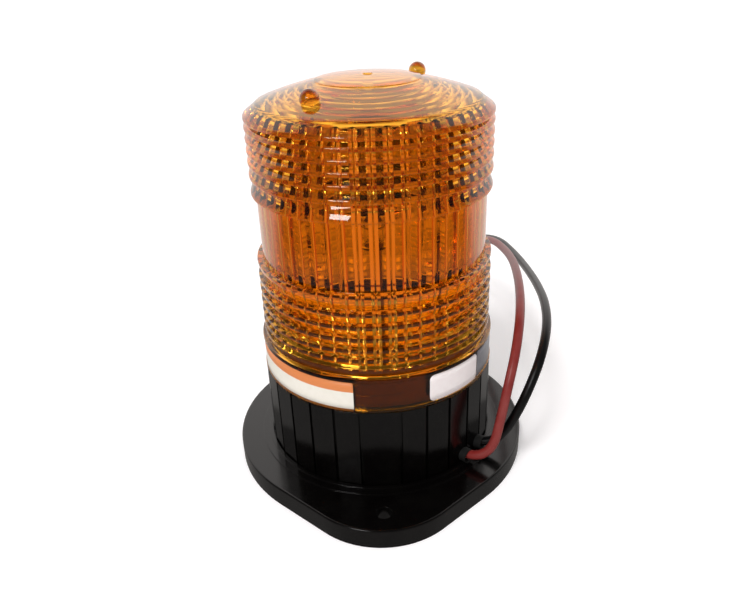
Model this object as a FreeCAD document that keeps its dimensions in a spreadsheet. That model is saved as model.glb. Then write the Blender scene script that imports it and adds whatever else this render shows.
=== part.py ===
import FreeCAD, Part
import math
import os
import Sketcher

# A xenon strobe beacon: an amber Fresnel lens that screws onto a fluted black housing, which stands on
# an oval flange with two fixing holes and holds the flash tube, its circuit board and two supply leads.
# +Z is up the lens axis, the origin is the middle of the flange's underside, the front ear is at -Y.

App = FreeCAD
document = App.newDocument("StrobeBeacon")
sheet = document.addObject("Spreadsheet::Sheet", "Sizes")


class Size:
    """A length, angle or count with the spreadsheet formula that gives it."""

    def __init__(self, value, formula):
        self.value = float(value)
        self.formula = formula

    def join(self, other, sign, value):
        formula = other.formula if isinstance(other, Size) else repr(float(other))
        return Size(value, f"({self.formula} {sign} {formula})")

    def __add__(self, other):
        return self.join(other, "+", self.value + plain(other))

    def __sub__(self, other):
        return self.join(other, "-", self.value - plain(other))

    def __mul__(self, other):
        return self.join(other, "*", self.value * plain(other))

    def __truediv__(self, other):
        return self.join(other, "/", self.value / plain(other))

    def __neg__(self):
        return Size(-self.value, f"(-{self.formula})")


def plain(number):
    return number.value if isinstance(number, Size) else float(number)


def size(alias, value, note):
    """One driving dimension: a row of the sheet with its note, its plain number and its alias."""
    row = size.next_row
    size.next_row += 1
    sheet.set(f"A{row}", note)
    sheet.set(f"B{row}", str(value))
    sheet.setAlias(f"B{row}", alias)
    return Size(value, f"Sizes.{alias}")


size.next_row = 1

# ---- driving dimensions, in millimetres and degrees -------------------------------------------------

flange_radius = size("flange_radius", 55.2, "round part of the flange")
flange_thickness = size("flange_thickness", 7.3, "flange, underside to top")
ear_radius = size("ear_radius", 30.2, "rounding of each ear")
ear_reach = size("ear_reach", 63.5, "axis to the tip of an ear")
ear_hole_reach = size("ear_hole_reach", 55.1, "axis to a fixing hole")
ear_hole_diameter = size("ear_hole_diameter", 5.6, "fixing hole for a No. 10 screw")
flange_edge = size("flange_edge", 0.7, "rounding of the flange's top edge")
seat_depth = size("seat_depth", 2.0, "housing's seat, below the flange top")
seat_clearance = size("seat_clearance", 0.2, "round the housing in its seat")
inner_land_width = size("inner_land_width", 1.3, "raised rim beside the housing")
inner_land_height = size("inner_land_height", 0.8, "raised rim above the flange top")
outer_land_width = size("outer_land_width", 2.7, "lower step of the rim")
outer_land_height = size("outer_land_height", 0.4, "lower step above the flange top")

housing_radius = size("housing_radius", 42.5, "fluted wall, outside")
housing_wall = size("housing_wall", 3.5, "fluted wall, thickness")
shoulder_height = size("shoulder_height", 38.4, "shoulder under the lens, above the underside")
shoulder_thickness = size("shoulder_thickness", 2.4, "top wall of the housing")
groove_width = size("groove_width", 1.0, "groove between two panels")
groove_depth = size("groove_depth", 1.0, "groove between two panels")
front_panel_angle = size("front_panel_angle", 18.6, "wide panel over each ear")
panels_per_side = 13
collar_radius = size("collar_radius", 38.6, "threaded collar, outside")
collar_wall = size("collar_wall", 2.4, "threaded collar, thickness")
collar_height = size("collar_height", 11.0, "collar above the shoulder")
ledge_width = size("ledge_width", 4.7, "ledge that carries the deck")
ledge_thickness = size("ledge_thickness", 2.4, "ledge that carries the deck")
deck_drop = size("deck_drop", 3.4, "collar top to ledge top")
gasket_thickness = size("gasket_thickness", 0.8, "flat gasket under the housing")
boss_radius = size("boss_radius", 3.4, "screw boss inside the housing")
boss_circle = size("boss_circle", 35.8, "axis to a screw boss")
boss_height = size("boss_height", 9.0, "screw boss")
housing_screw_diameter = size("housing_screw_diameter", 3.0, "screw through the flange")
housing_screw_head = size("housing_screw_head", 5.8, "head diameter")
housing_screw_head_depth = size("housing_screw_head_depth", 2.2, "head height")
screw_clearance = size("screw_clearance", 0.15, "round a screw or its head")
first_boss_angle = 15.0
boss_count = 4

lens_clearance = size("lens_clearance", 0.3, "lens rim above the housing's shoulder")
skirt_radius = size("skirt_radius", 42.0, "lens skirt, outside")
skirt_height = size("skirt_height", 13.1, "lens skirt, rim to shoulder")
lip_radius = size("lip_radius", 42.4, "bead at the skirt's top and bottom")
lip_height = size("lip_height", 1.0, "bead at the skirt's bottom")
top_lip_height = size("top_lip_height", 1.7, "bead at the skirt's top")
thread_room = size("thread_room", 0.9, "skirt bore outside the collar")
lens_wall_radius = size("lens_wall_radius", 37.1, "inside of the lens above the skirt")
valley_radius = size("valley_radius", 39.2, "bottom of the lens rings")
band_radius = size("band_radius", 39.3, "plain band between the two sets of rings")
upper_ring_radius = size("upper_ring_radius", 41.0, "crest of the upper rings")
lower_ring_radius = size("lower_ring_radius", 41.4, "crest of the lower rings")
crest_flat = size("crest_flat", 1.0, "height of the crest of a ring")
crest_edge = size("crest_edge", 0.4, "rounded edge of a ring")
face_bow = size("face_bow", 0.45, "fall of a ring's face halfway to the next ledge")
first_lower_ring = size("first_lower_ring", 16.4, "lowest ring's crest above the skirt rim")
lower_ring_pitches = [3.65, 3.55, 4.2, 4.3, 4.5, 6.1]
band_height = size("band_height", 22.9, "plain band, lower ring crest to upper ring ledge")
upper_ring_pitches = [5.8, 4.4, 3.8, 3.6, 3.7, 3.0]
crown_drop = size("crown_drop", 4.7, "top ring's ledge to the crown's edge")
crown_radius = size("crown_radius", 37.3, "edge of the crown")
crown_disc_radius = size("crown_disc_radius", 17.2, "disc in the middle of the crown")
crown_rise = size("crown_rise", 5.9, "crown edge to the disc")
crown_steps = 6
crown_step = size("crown_step", 0.98, "rise of a ring under the crown")
crown_bow = size("crown_bow", 0.35, "swell of the crown between its edge and the disc")
disc_rim = size("disc_rim", 0.35, "disc above the crown round it")
crown_edge = size("crown_edge", 0.7, "rounding of the crown's edge")
crown_apex = size("crown_apex", 1.1, "dome of the middle disc")
crown_thickness = size("crown_thickness", 2.3, "wall of the crown")
rib_count = 48
rib_radius = size("rib_radius", 1.15, "half-round rib inside the lens")
rib_gap = size("rib_gap", 1.6, "rib foot above the inner shoulder")
pin_circle = size("pin_circle", 28.2, "axis to a grip pin")
pin_ball_radius = size("pin_ball_radius", 3.0, "ball of a grip pin")
pin_ball_height = size("pin_ball_height", 3.9, "ball centre above the crown's edge")
pin_angles = (-128.0, 52.0)
gate_radius = size("gate_radius", 1.5, "moulding gate on the crown")
gate_height = size("gate_height", 0.35, "moulding gate above the crown")
seal_thickness = size("seal_thickness", 1.2, "flat lens gasket")
seal_gap = size("seal_gap", 0.3, "lens gasket to what it seals")

deck_thickness = size("deck_thickness", 2.0, "black deck under the flash tube")
deck_clearance = size("deck_clearance", 0.2, "round the deck in the collar")
deck_screw_circle = size("deck_screw_circle", 33.8, "axis to a deck screw")
deck_screw_diameter = size("deck_screw_diameter", 2.2, "deck screw")
deck_screw_length = size("deck_screw_length", 4.0, "deck screw under its head")
deck_screw_head = size("deck_screw_head", 4.4, "deck screw head")
deck_screw_head_height = size("deck_screw_head_height", 1.2, "deck screw head")
deck_screw_count = 3
first_deck_screw_angle = 40.0

post_radius = size("post_radius", 0.9, "steel rod that carries the flash tube")
post_offset = size("post_offset", 1.8, "axis to the steel rod")
post_foot_radius = size("post_foot_radius", 6.0, "foot of the rod")
post_foot_height = size("post_foot_height", 2.5, "foot of the rod")
post_height = size("post_height", 33.0, "rod's top above the deck")
tube_base_radius = size("tube_base_radius", 5.0, "cap that holds the flash tube")
tube_base_height = size("tube_base_height", 3.0, "cap that holds the flash tube")
tube_radius = size("tube_radius", 3.6, "flash tube, outside")
tube_wall = size("tube_wall", 0.7, "flash tube, glass wall")
tube_length = size("tube_length", 34.0, "flash tube above its cap")
electrode_radius = size("electrode_radius", 0.9, "tungsten electrode")
electrode_length = size("electrode_length", 7.0, "tungsten electrode inside the glass")
trigger_turns = 5
trigger_wire_diameter = size("trigger_wire_diameter", 0.5, "trigger wire")

board_radius = size("board_radius", 34.0, "circuit board")
board_thickness = size("board_thickness", 1.6, "circuit board")
standoff_height = size("standoff_height", 10.6, "board above the seat floor")
standoff_radius = size("standoff_radius", 2.6, "standoff across its flats")
standoff_circle = size("standoff_circle", 29.0, "axis to a standoff")
standoff_count = 3
first_standoff_angle = -12.0
board_screw_radius = size("board_screw_radius", 1.4, "board screw")
board_screw_head_radius = size("board_screw_head_radius", 2.6, "board screw head")
board_screw_head_height = size("board_screw_head_height", 1.6, "board screw head")

lead_diameter = size("lead_diameter", 3.4, "supply lead, over its insulation")
lead_height = size("lead_height", 10.8, "lead exits above the underside")
bushing_diameter = size("bushing_diameter", 5.2, "rubber bushing in the wall")
bushing_reach = size("bushing_reach", 45.0, "axis to a bushing's outer end")
bushing_flare = size("bushing_flare", 2.7, "flared mouth of a bushing, along its bore")
bushing_clearance = size("bushing_clearance", 0.05, "lead in bushing, bushing in wall")
strand_diameter = size("strand_diameter", 1.7, "bare copper at a lead's end")
strand_length = size("strand_length", 9.0, "bare copper at a lead's end")

# ---- heights and radii that follow from them --------------------------------------------------------

ear_centre = ear_reach - ear_radius
seat_floor = flange_thickness - seat_depth
housing_foot = seat_floor + gasket_thickness
housing_bore = housing_radius - housing_wall
collar_top = shoulder_height + collar_height
collar_bore = collar_radius - collar_wall
ledge_top = collar_top - deck_drop
ledge_bore = collar_bore - ledge_width
deck_top = ledge_top + deck_thickness
post_top = deck_top + post_height
tube_foot = post_top + tube_base_height
tube_top = tube_foot + tube_length
board_foot = seat_floor + standoff_height
board_top = board_foot + board_thickness
skirt_rim = shoulder_height + lens_clearance
skirt_top = skirt_rim + skirt_height
skirt_bore = collar_radius + thread_room
seal_foot = collar_top + seal_gap
seal_top = seal_foot + seal_thickness
inner_shoulder = seal_top + seal_gap


# ---- ways of making solids --------------------------------------------------------------------------

def bind(thing, name, amount):
    """Ties a property to the sheet, or sets it where it is a plain number."""
    if isinstance(amount, Size):
        thing.setExpression(name, amount.formula)
    elif name.startswith("Placement"):
        thing.setExpression(name, repr(float(amount)))
    else:
        setattr(thing, name, amount)


def place(thing, x=0.0, y=0.0, z=0.0, turn=0.0, axis=(0, 0, 1)):
    """Puts a primitive at x, y, z, turned about an axis through that point."""
    thing.Placement = App.Placement(App.Vector(plain(x), plain(y), plain(z)),
                                    App.Rotation(App.Vector(*axis), turn))
    for name, amount in (("x", x), ("y", y), ("z", z)):
        if isinstance(amount, Size):
            thing.setExpression(f"Placement.Base.{name}", amount.formula)
    return thing


def cylinder(label, radius, height, **where):
    thing = document.addObject("Part::Cylinder", label)
    bind(thing, "Radius", radius)
    bind(thing, "Height", height)
    return place(thing, **where)


def block(label, length, width, height, **where):
    thing = document.addObject("Part::Box", label)
    bind(thing, "Length", length)
    bind(thing, "Width", width)
    bind(thing, "Height", height)
    return place(thing, **where)


def sphere(label, radius, **where):
    thing = document.addObject("Part::Sphere", label)
    bind(thing, "Radius", radius)
    return place(thing, **where)


def prism(label, sides, radius, height, **where):
    thing = document.addObject("Part::Prism", label)
    thing.Polygon = sides
    bind(thing, "Circumradius", radius)
    bind(thing, "Height", height)
    return place(thing, **where)


def cut(label, base, tool):
    thing = document.addObject("Part::Cut", label)
    thing.Base = base
    thing.Tool = tool
    return thing


def fuse(label, pieces):
    thing = document.addObject("Part::MultiFuse", label)
    thing.Shapes = pieces
    return thing


def group(label, pieces):
    """Several like solids in one node."""
    thing = document.addObject("Part::Compound", label)
    thing.Links = pieces
    return thing


def polar(radius, angle):
    """The x and y of a point at a radius and an angle in degrees from +X."""
    turn = math.radians(angle)
    return radius * math.cos(turn), radius * math.sin(turn)


def plane_of(body, role):
    return next(item for item in body.Origin.OriginFeatures if item.Role == role)


def sketch_on(body, name, role="XY_Plane", height=None):
    sketch = body.newObject("Sketcher::SketchObject", name)
    sketch.AttachmentSupport = [(plane_of(body, role), "")]
    sketch.MapMode = "FlatFace"
    if height is not None:
        sketch.AttachmentOffset = App.Placement(App.Vector(0, 0, plain(height)), App.Rotation())
        bind(sketch, "AttachmentOffset.Base.z", height)
    return sketch


def fix_point(sketch, geometry, end, x, y):
    """Holds a point of a sketch at x, y with two dimensions, or on an axis where one is zero."""
    for kind, axis, amount in (("DistanceX", -2, x), ("DistanceY", -1, y)):
        if not isinstance(amount, Size) and amount == 0:
            sketch.addConstraint(Sketcher.Constraint("PointOnObject", geometry, end, axis))
            continue
        if plain(amount) < 0:
            ends = (geometry, end, -1, 1)
            amount = -amount
        else:
            ends = (-1, 1, geometry, end)
        number = sketch.addConstraint(Sketcher.Constraint(kind, *ends, plain(amount)))
        if isinstance(amount, Size):
            sketch.setExpression(f"Constraints[{number}]", amount.formula)


def outline(sketch, corners):
    """A closed outline of straight lines through corners given as pairs of sizes."""
    points = [App.Vector(plain(x), plain(y), 0) for x, y in corners]
    count = len(points)
    first = sketch.GeometryCount
    for index in range(count):
        sketch.addGeometry(Part.LineSegment(points[index], points[(index + 1) % count]), False)
    for index in range(count):
        sketch.addConstraint(Sketcher.Constraint("Coincident", first + index, 2,
                                                 first + (index + 1) % count, 1))
    for index, (x, y) in enumerate(corners):
        fix_point(sketch, first + index, 1, x, y)


def circle(sketch, x, y, radius):
    number = sketch.addGeometry(Part.Circle(App.Vector(plain(x), plain(y), 0), App.Vector(0, 0, 1),
                                            plain(radius)), False)
    fix_point(sketch, number, 3, x, y)
    constraint = sketch.addConstraint(Sketcher.Constraint("Radius", number, plain(radius)))
    if isinstance(radius, Size):
        sketch.setExpression(f"Constraints[{constraint}]", radius.formula)


def new_body(label):
    body = document.addObject("PartDesign::Body", label)
    body.Label = label
    return body


def revolve(body, name, corners, cutting=False):
    """Turns an outline of radius, height corners about the axis, as a solid or as a groove."""
    sketch = sketch_on(body, name + "_profile", "XZ_Plane")
    outline(sketch, corners)
    kind = "PartDesign::Groove" if cutting else "PartDesign::Revolution"
    feature = body.newObject(kind, name)
    feature.Profile = sketch
    feature.ReferenceAxis = (sketch, ["V_Axis"])
    feature.Angle = 360.0
    return feature


def pad(body, sketch, name, length, downward=False):
    feature = body.newObject("PartDesign::Pad", name)
    feature.Profile = sketch
    feature.Reversed = downward
    bind(feature, "Length", length)
    return feature


def pocket(body, sketch, name, depth, upward=False):
    """Cuts from the sketch's plane downward, or upward where asked; the removed volume is checked."""
    document.recompute()
    before = body.Shape.Volume
    feature = body.newObject("PartDesign::Pocket", name)
    feature.Profile = sketch
    feature.Reversed = upward
    bind(feature, "Length", depth)
    document.recompute()
    if not body.Shape.Volume < before - 0.01:
        raise RuntimeError(f"{name} cuts nothing")
    return feature


def pattern(body, features, name, count, angle=360.0, backward=False):
    """Repeats features about the axis; angle is the whole sweep, 360 for a full circle."""
    turned = body.newObject("PartDesign::PolarPattern", name)
    turned.Originals = features
    turned.Axis = (plane_of(body, "Z_Axis"), [""])
    turned.Reversed = backward
    turned.Occurrences = count
    bind(turned, "Angle", angle)
    body.Tip = turned
    return turned


def turned_sketch(body, name, angle, role="XY_Plane", height=0.0):
    """A sketch turned about the lens axis, so that its own X (or its normal) points at the angle."""
    sketch = sketch_on(body, name, role)
    axis = App.Vector(0, 0, 1) if role == "XY_Plane" else App.Vector(0, 1, 0)
    sketch.AttachmentOffset = App.Placement(App.Vector(0, 0, plain(height)),
                                            App.Rotation(axis, plain(angle)))
    if isinstance(angle, Size):
        sketch.setExpression("AttachmentOffset.Rotation.Angle", angle.formula)
    if isinstance(height, Size):
        sketch.setExpression("AttachmentOffset.Base.z", height.formula)
    return sketch


def cosine(angle):
    return Size(math.cos(math.radians(angle.value)), f"cos({angle.formula} * 1 deg)")


# ---- mounting flange --------------------------------------------------------------------------------

def flange_outline(sketch):
    """A circle with an ear in front and behind: four arcs joined by four tangent lines."""
    spread = math.degrees(math.acos((flange_radius - ear_radius).value / ear_centre.value))
    middle = App.Vector(0, 0, 0)
    arcs = []
    for radius, centre, start, end in (
            (ear_radius, -ear_centre, -90 - spread, -90 + spread),
            (flange_radius, None, -90 + spread, 90 - spread),
            (ear_radius, ear_centre, 90 - spread, 90 + spread),
            (flange_radius, None, 90 + spread, 270 - spread)):
        point = App.Vector(0, centre.value, 0) if centre else middle
        ring = Part.Circle(point, App.Vector(0, 0, 1), radius.value)
        arc = sketch.addGeometry(Part.ArcOfCircle(ring, math.radians(start), math.radians(end)), False)
        arcs.append((arc, radius, centre))
    ends = [sketch.getPoint(arc, end) for arc, radius, centre in arcs for end in (1, 2)]
    for index, (arc, radius, centre) in enumerate(arcs):
        following = arcs[(index + 1) % 4][0]
        line = sketch.addGeometry(Part.LineSegment(ends[2 * index + 1], ends[(2 * index + 2) % 8]), False)
        sketch.addConstraint(Sketcher.Constraint("Tangent", arc, 2, line, 1))
        sketch.addConstraint(Sketcher.Constraint("Tangent", line, 2, following, 1))
        number = sketch.addConstraint(Sketcher.Constraint("Radius", arc, radius.value))
        sketch.setExpression(f"Constraints[{number}]", radius.formula)
        fix_point(sketch, arc, 3, 0, centre if centre else 0)


def make_mounting_flange():
    """The oval foot: a plate with a round seat for the housing inside a low two-step rim."""
    body = new_body("mounting_flange")
    sketch = sketch_on(body, "flange_outline")
    flange_outline(sketch)
    plate = pad(body, sketch, "plate", flange_thickness)
    document.recompute()
    rim_edges = [f"Edge{number}" for number, edge in enumerate(plate.Shape.Edges, 1)
                 if all(abs(vertex.Z - flange_thickness.value) < 1e-6 for vertex in edge.Vertexes)]
    rounding = body.newObject("PartDesign::Fillet", "top_edge")
    rounding.Base = (plate, rim_edges)
    bind(rounding, "Radius", flange_edge)
    seat_radius = housing_radius + seat_clearance
    first_step = seat_radius + inner_land_width
    second_step = first_step + outer_land_width
    inner_top = flange_thickness + inner_land_height
    outer_top = flange_thickness + outer_land_height
    revolve(body, "rim", [(seat_radius, seat_floor), (second_step, seat_floor),
                          (second_step, outer_top), (first_step, outer_top),
                          (first_step, inner_top), (seat_radius, inner_top)])
    seat = sketch_on(body, "seat_circle", height=inner_top)
    circle(seat, 0, 0, seat_radius)
    pocket(body, seat, "seat", seat_depth + inner_land_height)
    holes = sketch_on(body, "ear_hole_circles")
    for side in (ear_hole_reach, -ear_hole_reach):
        circle(holes, 0, side, ear_hole_diameter / 2)
    pocket(body, holes, "ear_holes", flange_thickness, upward=True)
    cuts = []
    for name, radius, depth in (
            ("head_recess", housing_screw_head / 2 + screw_clearance, screw_head_seat),
            ("screw_hole", housing_screw_diameter / 2 + screw_clearance, seat_floor)):
        sketch = turned_sketch(body, name + "_circle", first_boss_angle)
        circle(sketch, boss_circle, 0, radius)
        cuts.append(pocket(body, sketch, name, depth, upward=True))
    pattern(body, cuts, "screw_holes", boss_count)
    return body


# ---- fluted housing ---------------------------------------------------------------------------------

side_sweep = Size(180, "180") - front_panel_angle
panel_angle = side_sweep / panels_per_side
first_groove = front_panel_angle / 2
red_exit_angle = size("red_exit_angle", -45.5, "red lead's bushing, from the right side")
black_exit_angle = size("black_exit_angle", -33.3, "black lead's bushing, from the right side")
screw_head_seat = housing_screw_head_depth + 0.3


def make_fluted_housing():
    """The black can: flat panels between grooves, a threaded collar above and a ledge for the deck."""
    body = new_body("fluted_housing")
    revolve(body, "can", [(housing_bore, housing_foot), (housing_radius, housing_foot),
                          (housing_radius, shoulder_height), (collar_radius, shoulder_height),
                          (collar_radius, collar_top), (collar_bore, collar_top),
                          (collar_bore, ledge_top), (ledge_bore, ledge_top),
                          (ledge_bore, ledge_top - ledge_thickness),
                          (collar_bore, ledge_top - ledge_thickness),
                          (collar_bore, shoulder_height - shoulder_thickness),
                          (housing_bore, shoulder_height - shoulder_thickness)])
    outside = housing_radius + 1
    wall_height = shoulder_height - housing_foot
    for side, backward in (("right", False), ("left", True)):
        sign = -1 if backward else 1
        start = turned_sketch(body, side + "_groove_outline", first_groove * sign - 90,
                              height=housing_foot)
        outline(start, [(housing_radius - groove_depth, -groove_width / 2), (outside, -groove_width / 2),
                        (outside, groove_width / 2), (housing_radius - groove_depth, groove_width / 2)])
        first = pocket(body, start, side + "_groove", wall_height, upward=True)
        pattern(body, [first], side + "_grooves", panels_per_side + 1, side_sweep, backward)
        flat = turned_sketch(body, side + "_flat_outline", (panel_angle / 2 + first_groove) * sign - 90,
                             height=housing_foot)
        panel_flat(flat, panel_angle)
        first = pocket(body, flat, side + "_flat", wall_height, upward=True)
        pattern(body, [first], side + "_flats", panels_per_side, side_sweep - panel_angle, backward)
    wide = turned_sketch(body, "wide_flat_outline", -90.0, height=housing_foot)
    panel_flat(wide, front_panel_angle)
    first = pocket(body, wide, "wide_flat", wall_height, upward=True)
    pattern(body, [first], "wide_flats", 2)
    boss = turned_sketch(body, "boss_circle", first_boss_angle, height=housing_foot)
    circle(boss, boss_circle, 0, boss_radius)
    first = pad(body, boss, "boss", boss_height)
    pattern(body, [first], "bosses", boss_count)
    pilot = turned_sketch(body, "pilot_circle", first_boss_angle, height=housing_foot)
    circle(pilot, boss_circle, 0, housing_screw_diameter / 2 + bushing_clearance)
    first = pocket(body, pilot, "pilot_hole", boss_height - 1, upward=True)
    pattern(body, [first], "pilot_holes", boss_count)
    for name, angle in (("red_exit", red_exit_angle), ("black_exit", black_exit_angle)):
        sketch = turned_sketch(body, name + "_circle", angle, "YZ_Plane")
        circle(sketch, 0, lead_height, bushing_diameter / 2 + bushing_clearance)
        pocket(body, sketch, name, outside, upward=True)
    deck_hole = turned_sketch(body, "deck_pilot_circle", first_deck_screw_angle,
                              height=ledge_top - ledge_thickness)
    circle(deck_hole, deck_screw_circle, 0, deck_screw_diameter / 2 + bushing_clearance)
    first = pocket(body, deck_hole, "deck_pilot", ledge_thickness, upward=True)
    pattern(body, [first], "deck_pilots", deck_screw_count)
    return body


def panel_flat(sketch, angle):
    """What is shaved off a round wall to leave one flat panel that spans the angle."""
    flat = housing_radius * cosine(angle / 2)
    half = housing_radius * (angle.value / 2) * (math.pi / 180)
    outline(sketch, [(flat, -half), (housing_radius + 1, -half), (housing_radius + 1, half), (flat, half)])


def make_housing_gasket():
    """The flat rubber ring that the housing is screwed down on."""
    body = new_body("housing_gasket")
    sketch = sketch_on(body, "gasket_rings", height=seat_floor)
    circle(sketch, 0, 0, housing_radius - groove_depth)
    circle(sketch, 0, 0, housing_bore)
    pad(body, sketch, "ring", gasket_thickness)
    return body


def make_housing_screws():
    """Four pan-head screws up through the flange into the housing's bosses."""
    screws = []
    for index in range(boss_count):
        x, y = polar(boss_circle.value, first_boss_angle + 360 / boss_count * index)
        head = cylinder(f"housing_screw_head_{index}", housing_screw_head / 2, housing_screw_head_depth,
                        x=x, y=y, z=screw_head_seat - housing_screw_head_depth)
        slot = block(f"housing_screw_slot_{index}", 5.0, 0.8, 0.9, x=x - 2.5, y=y - 0.4,
                     z=screw_head_seat - housing_screw_head_depth)
        shank = cylinder(f"housing_screw_shank_{index}", housing_screw_diameter / 2,
                         housing_foot + boss_height - 1.5 - screw_head_seat, x=x, y=y, z=screw_head_seat)
        slotted = cut(f"housing_screw_slotted_{index}", head, slot)
        screws.append(fuse(f"housing_screw_{index}", [slotted, shank]))
    return group("housing_screws", screws)


# ---- deck, column and flash tube --------------------------------------------------------------------

def make_deck_plate():
    """The black disc that closes the housing under the flash tube."""
    body = new_body("deck_plate")
    sketch = sketch_on(body, "deck_circle", height=ledge_top)
    circle(sketch, 0, 0, collar_bore - deck_clearance)
    pad(body, sketch, "disc", deck_thickness)
    hole = turned_sketch(body, "screw_circle", first_deck_screw_angle, height=ledge_top)
    circle(hole, deck_screw_circle, 0, deck_screw_diameter / 2 + screw_clearance)
    first = pocket(body, hole, "screw_hole", deck_thickness, upward=True)
    pattern(body, [first], "screw_holes", deck_screw_count)
    return body


def make_deck_screws():
    screws = []
    for index in range(deck_screw_count):
        x, y = polar(deck_screw_circle.value, first_deck_screw_angle + 360 / deck_screw_count * index)
        head = cylinder(f"deck_screw_head_{index}", deck_screw_head / 2, deck_screw_head_height,
                        x=x, y=y, z=deck_top)
        slot = block(f"deck_screw_slot_{index}", 5.0, 0.6, 0.6, x=x - 2.5, y=y - 0.3,
                     z=deck_top + deck_screw_head_height - 0.6)
        shank = cylinder(f"deck_screw_shank_{index}", deck_screw_diameter / 2, deck_screw_length,
                         x=x, y=y, z=deck_top - deck_screw_length)
        slotted = cut(f"deck_screw_slotted_{index}", head, slot)
        screws.append(fuse(f"deck_screw_{index}", [slotted, shank]))
    return group("deck_screws", screws)


def make_tube_post():
    """The slim rod, on its foot, that lifts the flash tube to the middle of the lens."""
    body = new_body("tube_post")
    foot_top = deck_top + post_foot_height
    revolve(body, "foot", [(0, deck_top), (post_foot_radius, deck_top),
                           (post_foot_radius, foot_top - 0.8), (post_foot_radius - 0.8, foot_top),
                           (0, foot_top)])
    sketch = sketch_on(body, "rod_circle", height=foot_top)
    circle(sketch, post_offset, 0, post_radius)
    pad(body, sketch, "rod", post_top - foot_top)
    return body


tube_socket_depth = size("tube_socket_depth", 2.0, "flash tube inside its cap")
glass_end = size("glass_end", 1.5, "solid glass at each end of the flash tube")
anode_lead_offset = size("anode_lead_offset", 4.6, "tube axis to the lead from its top")
anode_lead_diameter = size("anode_lead_diameter", 0.6, "lead from the top of the flash tube")


def make_tube_base():
    """The cap on the column, with a socket for the flash tube."""
    body = new_body("tube_base")
    socket = tube_radius + bushing_clearance
    revolve(body, "cap", [(0, post_top), (tube_base_radius - 0.5, post_top),
                          (tube_base_radius, post_top + 0.5), (tube_base_radius, tube_foot),
                          (socket, tube_foot), (socket, tube_foot - tube_socket_depth),
                          (0, tube_foot - tube_socket_depth)])
    return body


def make_flash_tube():
    """The xenon tube: a straight glass capsule with solid ends."""
    body = new_body("flash_tube")
    bottom = tube_foot - tube_socket_depth
    bore = tube_radius - tube_wall
    revolve(body, "glass", [(0, bottom), (tube_radius, bottom), (tube_radius, tube_top - 1.2),
                            (tube_radius - 1.2, tube_top), (0, tube_top), (0, tube_top - glass_end),
                            (bore, tube_top - glass_end), (bore, bottom + glass_end),
                            (0, bottom + glass_end)])
    return body


def make_tube_electrodes():
    bottom = tube_foot - tube_socket_depth + glass_end
    lower = cylinder("cathode", electrode_radius, electrode_length, z=bottom)
    upper = cylinder("anode", electrode_radius, electrode_length,
                     z=tube_top - glass_end - electrode_length)
    return group("tube_electrodes", [lower, upper])


def tube_along(points, radius, arc_radii):
    """A round tube along straight runs joined by tangent arcs; returns the solid and its length."""
    edges = []
    start = points[0]
    for index in range(1, len(points) - 1):
        into = (points[index] - points[index - 1]).normalize()
        out = (points[index + 1] - points[index]).normalize()
        turn = into.getAngle(out)
        reach = arc_radii[index - 1] * math.tan(turn / 2)
        enter = points[index] - into * reach
        leave = points[index] + out * reach
        inward = (out - into).normalize()
        centre = points[index] + inward * (arc_radii[index - 1] / math.cos(turn / 2))
        middle = centre - inward * arc_radii[index - 1]
        edges.append(Part.LineSegment(start, enter).toShape())
        edges.append(Part.Arc(enter, middle, leave).toShape())
        start = leave
    edges.append(Part.LineSegment(start, points[-1]).toShape())
    path = Part.Wire(edges)
    heading = (points[1] - points[0]).normalize()
    section = Part.Wire([Part.makeCircle(radius, points[0], heading)])
    return path.makePipeShell([section], True, False), path.Length


def free_arcs(points):
    """The largest arc at each corner that leaves a tenth of the shorter run straight."""
    radii = []
    for index in range(1, len(points) - 1):
        before = points[index] - points[index - 1]
        after = points[index + 1] - points[index]
        turn = before.getAngle(after)
        radii.append(0.45 * min(before.Length, after.Length) / math.tan(turn / 2))
    return radii


def shape_node(label, shape):
    thing = document.addObject("Part::Feature", label)
    thing.Label = label
    thing.Shape = shape
    thing.Placement = App.Placement()
    return thing


def make_anode_lead():
    """The bare wire from the top of the flash tube, over and down its side to the cap."""
    side = -anode_lead_offset.value
    over = tube_top.value + 3.0
    points = [App.Vector(0, 0, tube_top.value), App.Vector(0, 0, over), App.Vector(side, 0, over),
              App.Vector(side, 0, tube_foot.value)]
    solid, length = tube_along(points, anode_lead_diameter.value / 2, [2.0, 2.0])
    return shape_node("anode_lead", solid)


def make_trigger_wire():
    """The fine wire wound round the glass, drawn as a run of rings on one riser."""
    wire = trigger_wire_diameter / 2
    ring_radius = tube_radius + wire + 0.03
    pitch = (tube_length - 12) / (trigger_turns - 1)
    pieces = []
    for index in range(trigger_turns):
        ring = document.addObject("Part::Torus", f"trigger_turn_{index}")
        bind(ring, "Radius1", ring_radius)
        bind(ring, "Radius2", wire)
        pieces.append(place(ring, z=tube_foot + 5 + pitch * index))
    pieces.append(cylinder("trigger_riser", wire, pitch * (trigger_turns - 1) + 5,
                           x=ring_radius + wire, z=tube_foot))
    return fuse("trigger_wire", pieces)


# ---- circuit board and what stands on it ------------------------------------------------------------

def make_circuit_board():
    body = new_body("circuit_board")
    sketch = sketch_on(body, "board_circle", height=board_foot)
    circle(sketch, 0, 0, board_radius)
    pad(body, sketch, "board", board_thickness)
    hole = turned_sketch(body, "screw_circle", first_standoff_angle, height=board_foot)
    circle(hole, standoff_circle, 0, board_screw_radius + screw_clearance)
    first = pocket(body, hole, "screw_hole", board_thickness, upward=True)
    pattern(body, [first], "screw_holes", standoff_count)
    return body


def standoff_points():
    return [polar(standoff_circle.value, first_standoff_angle + 360 / standoff_count * index)
            for index in range(standoff_count)]


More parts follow.
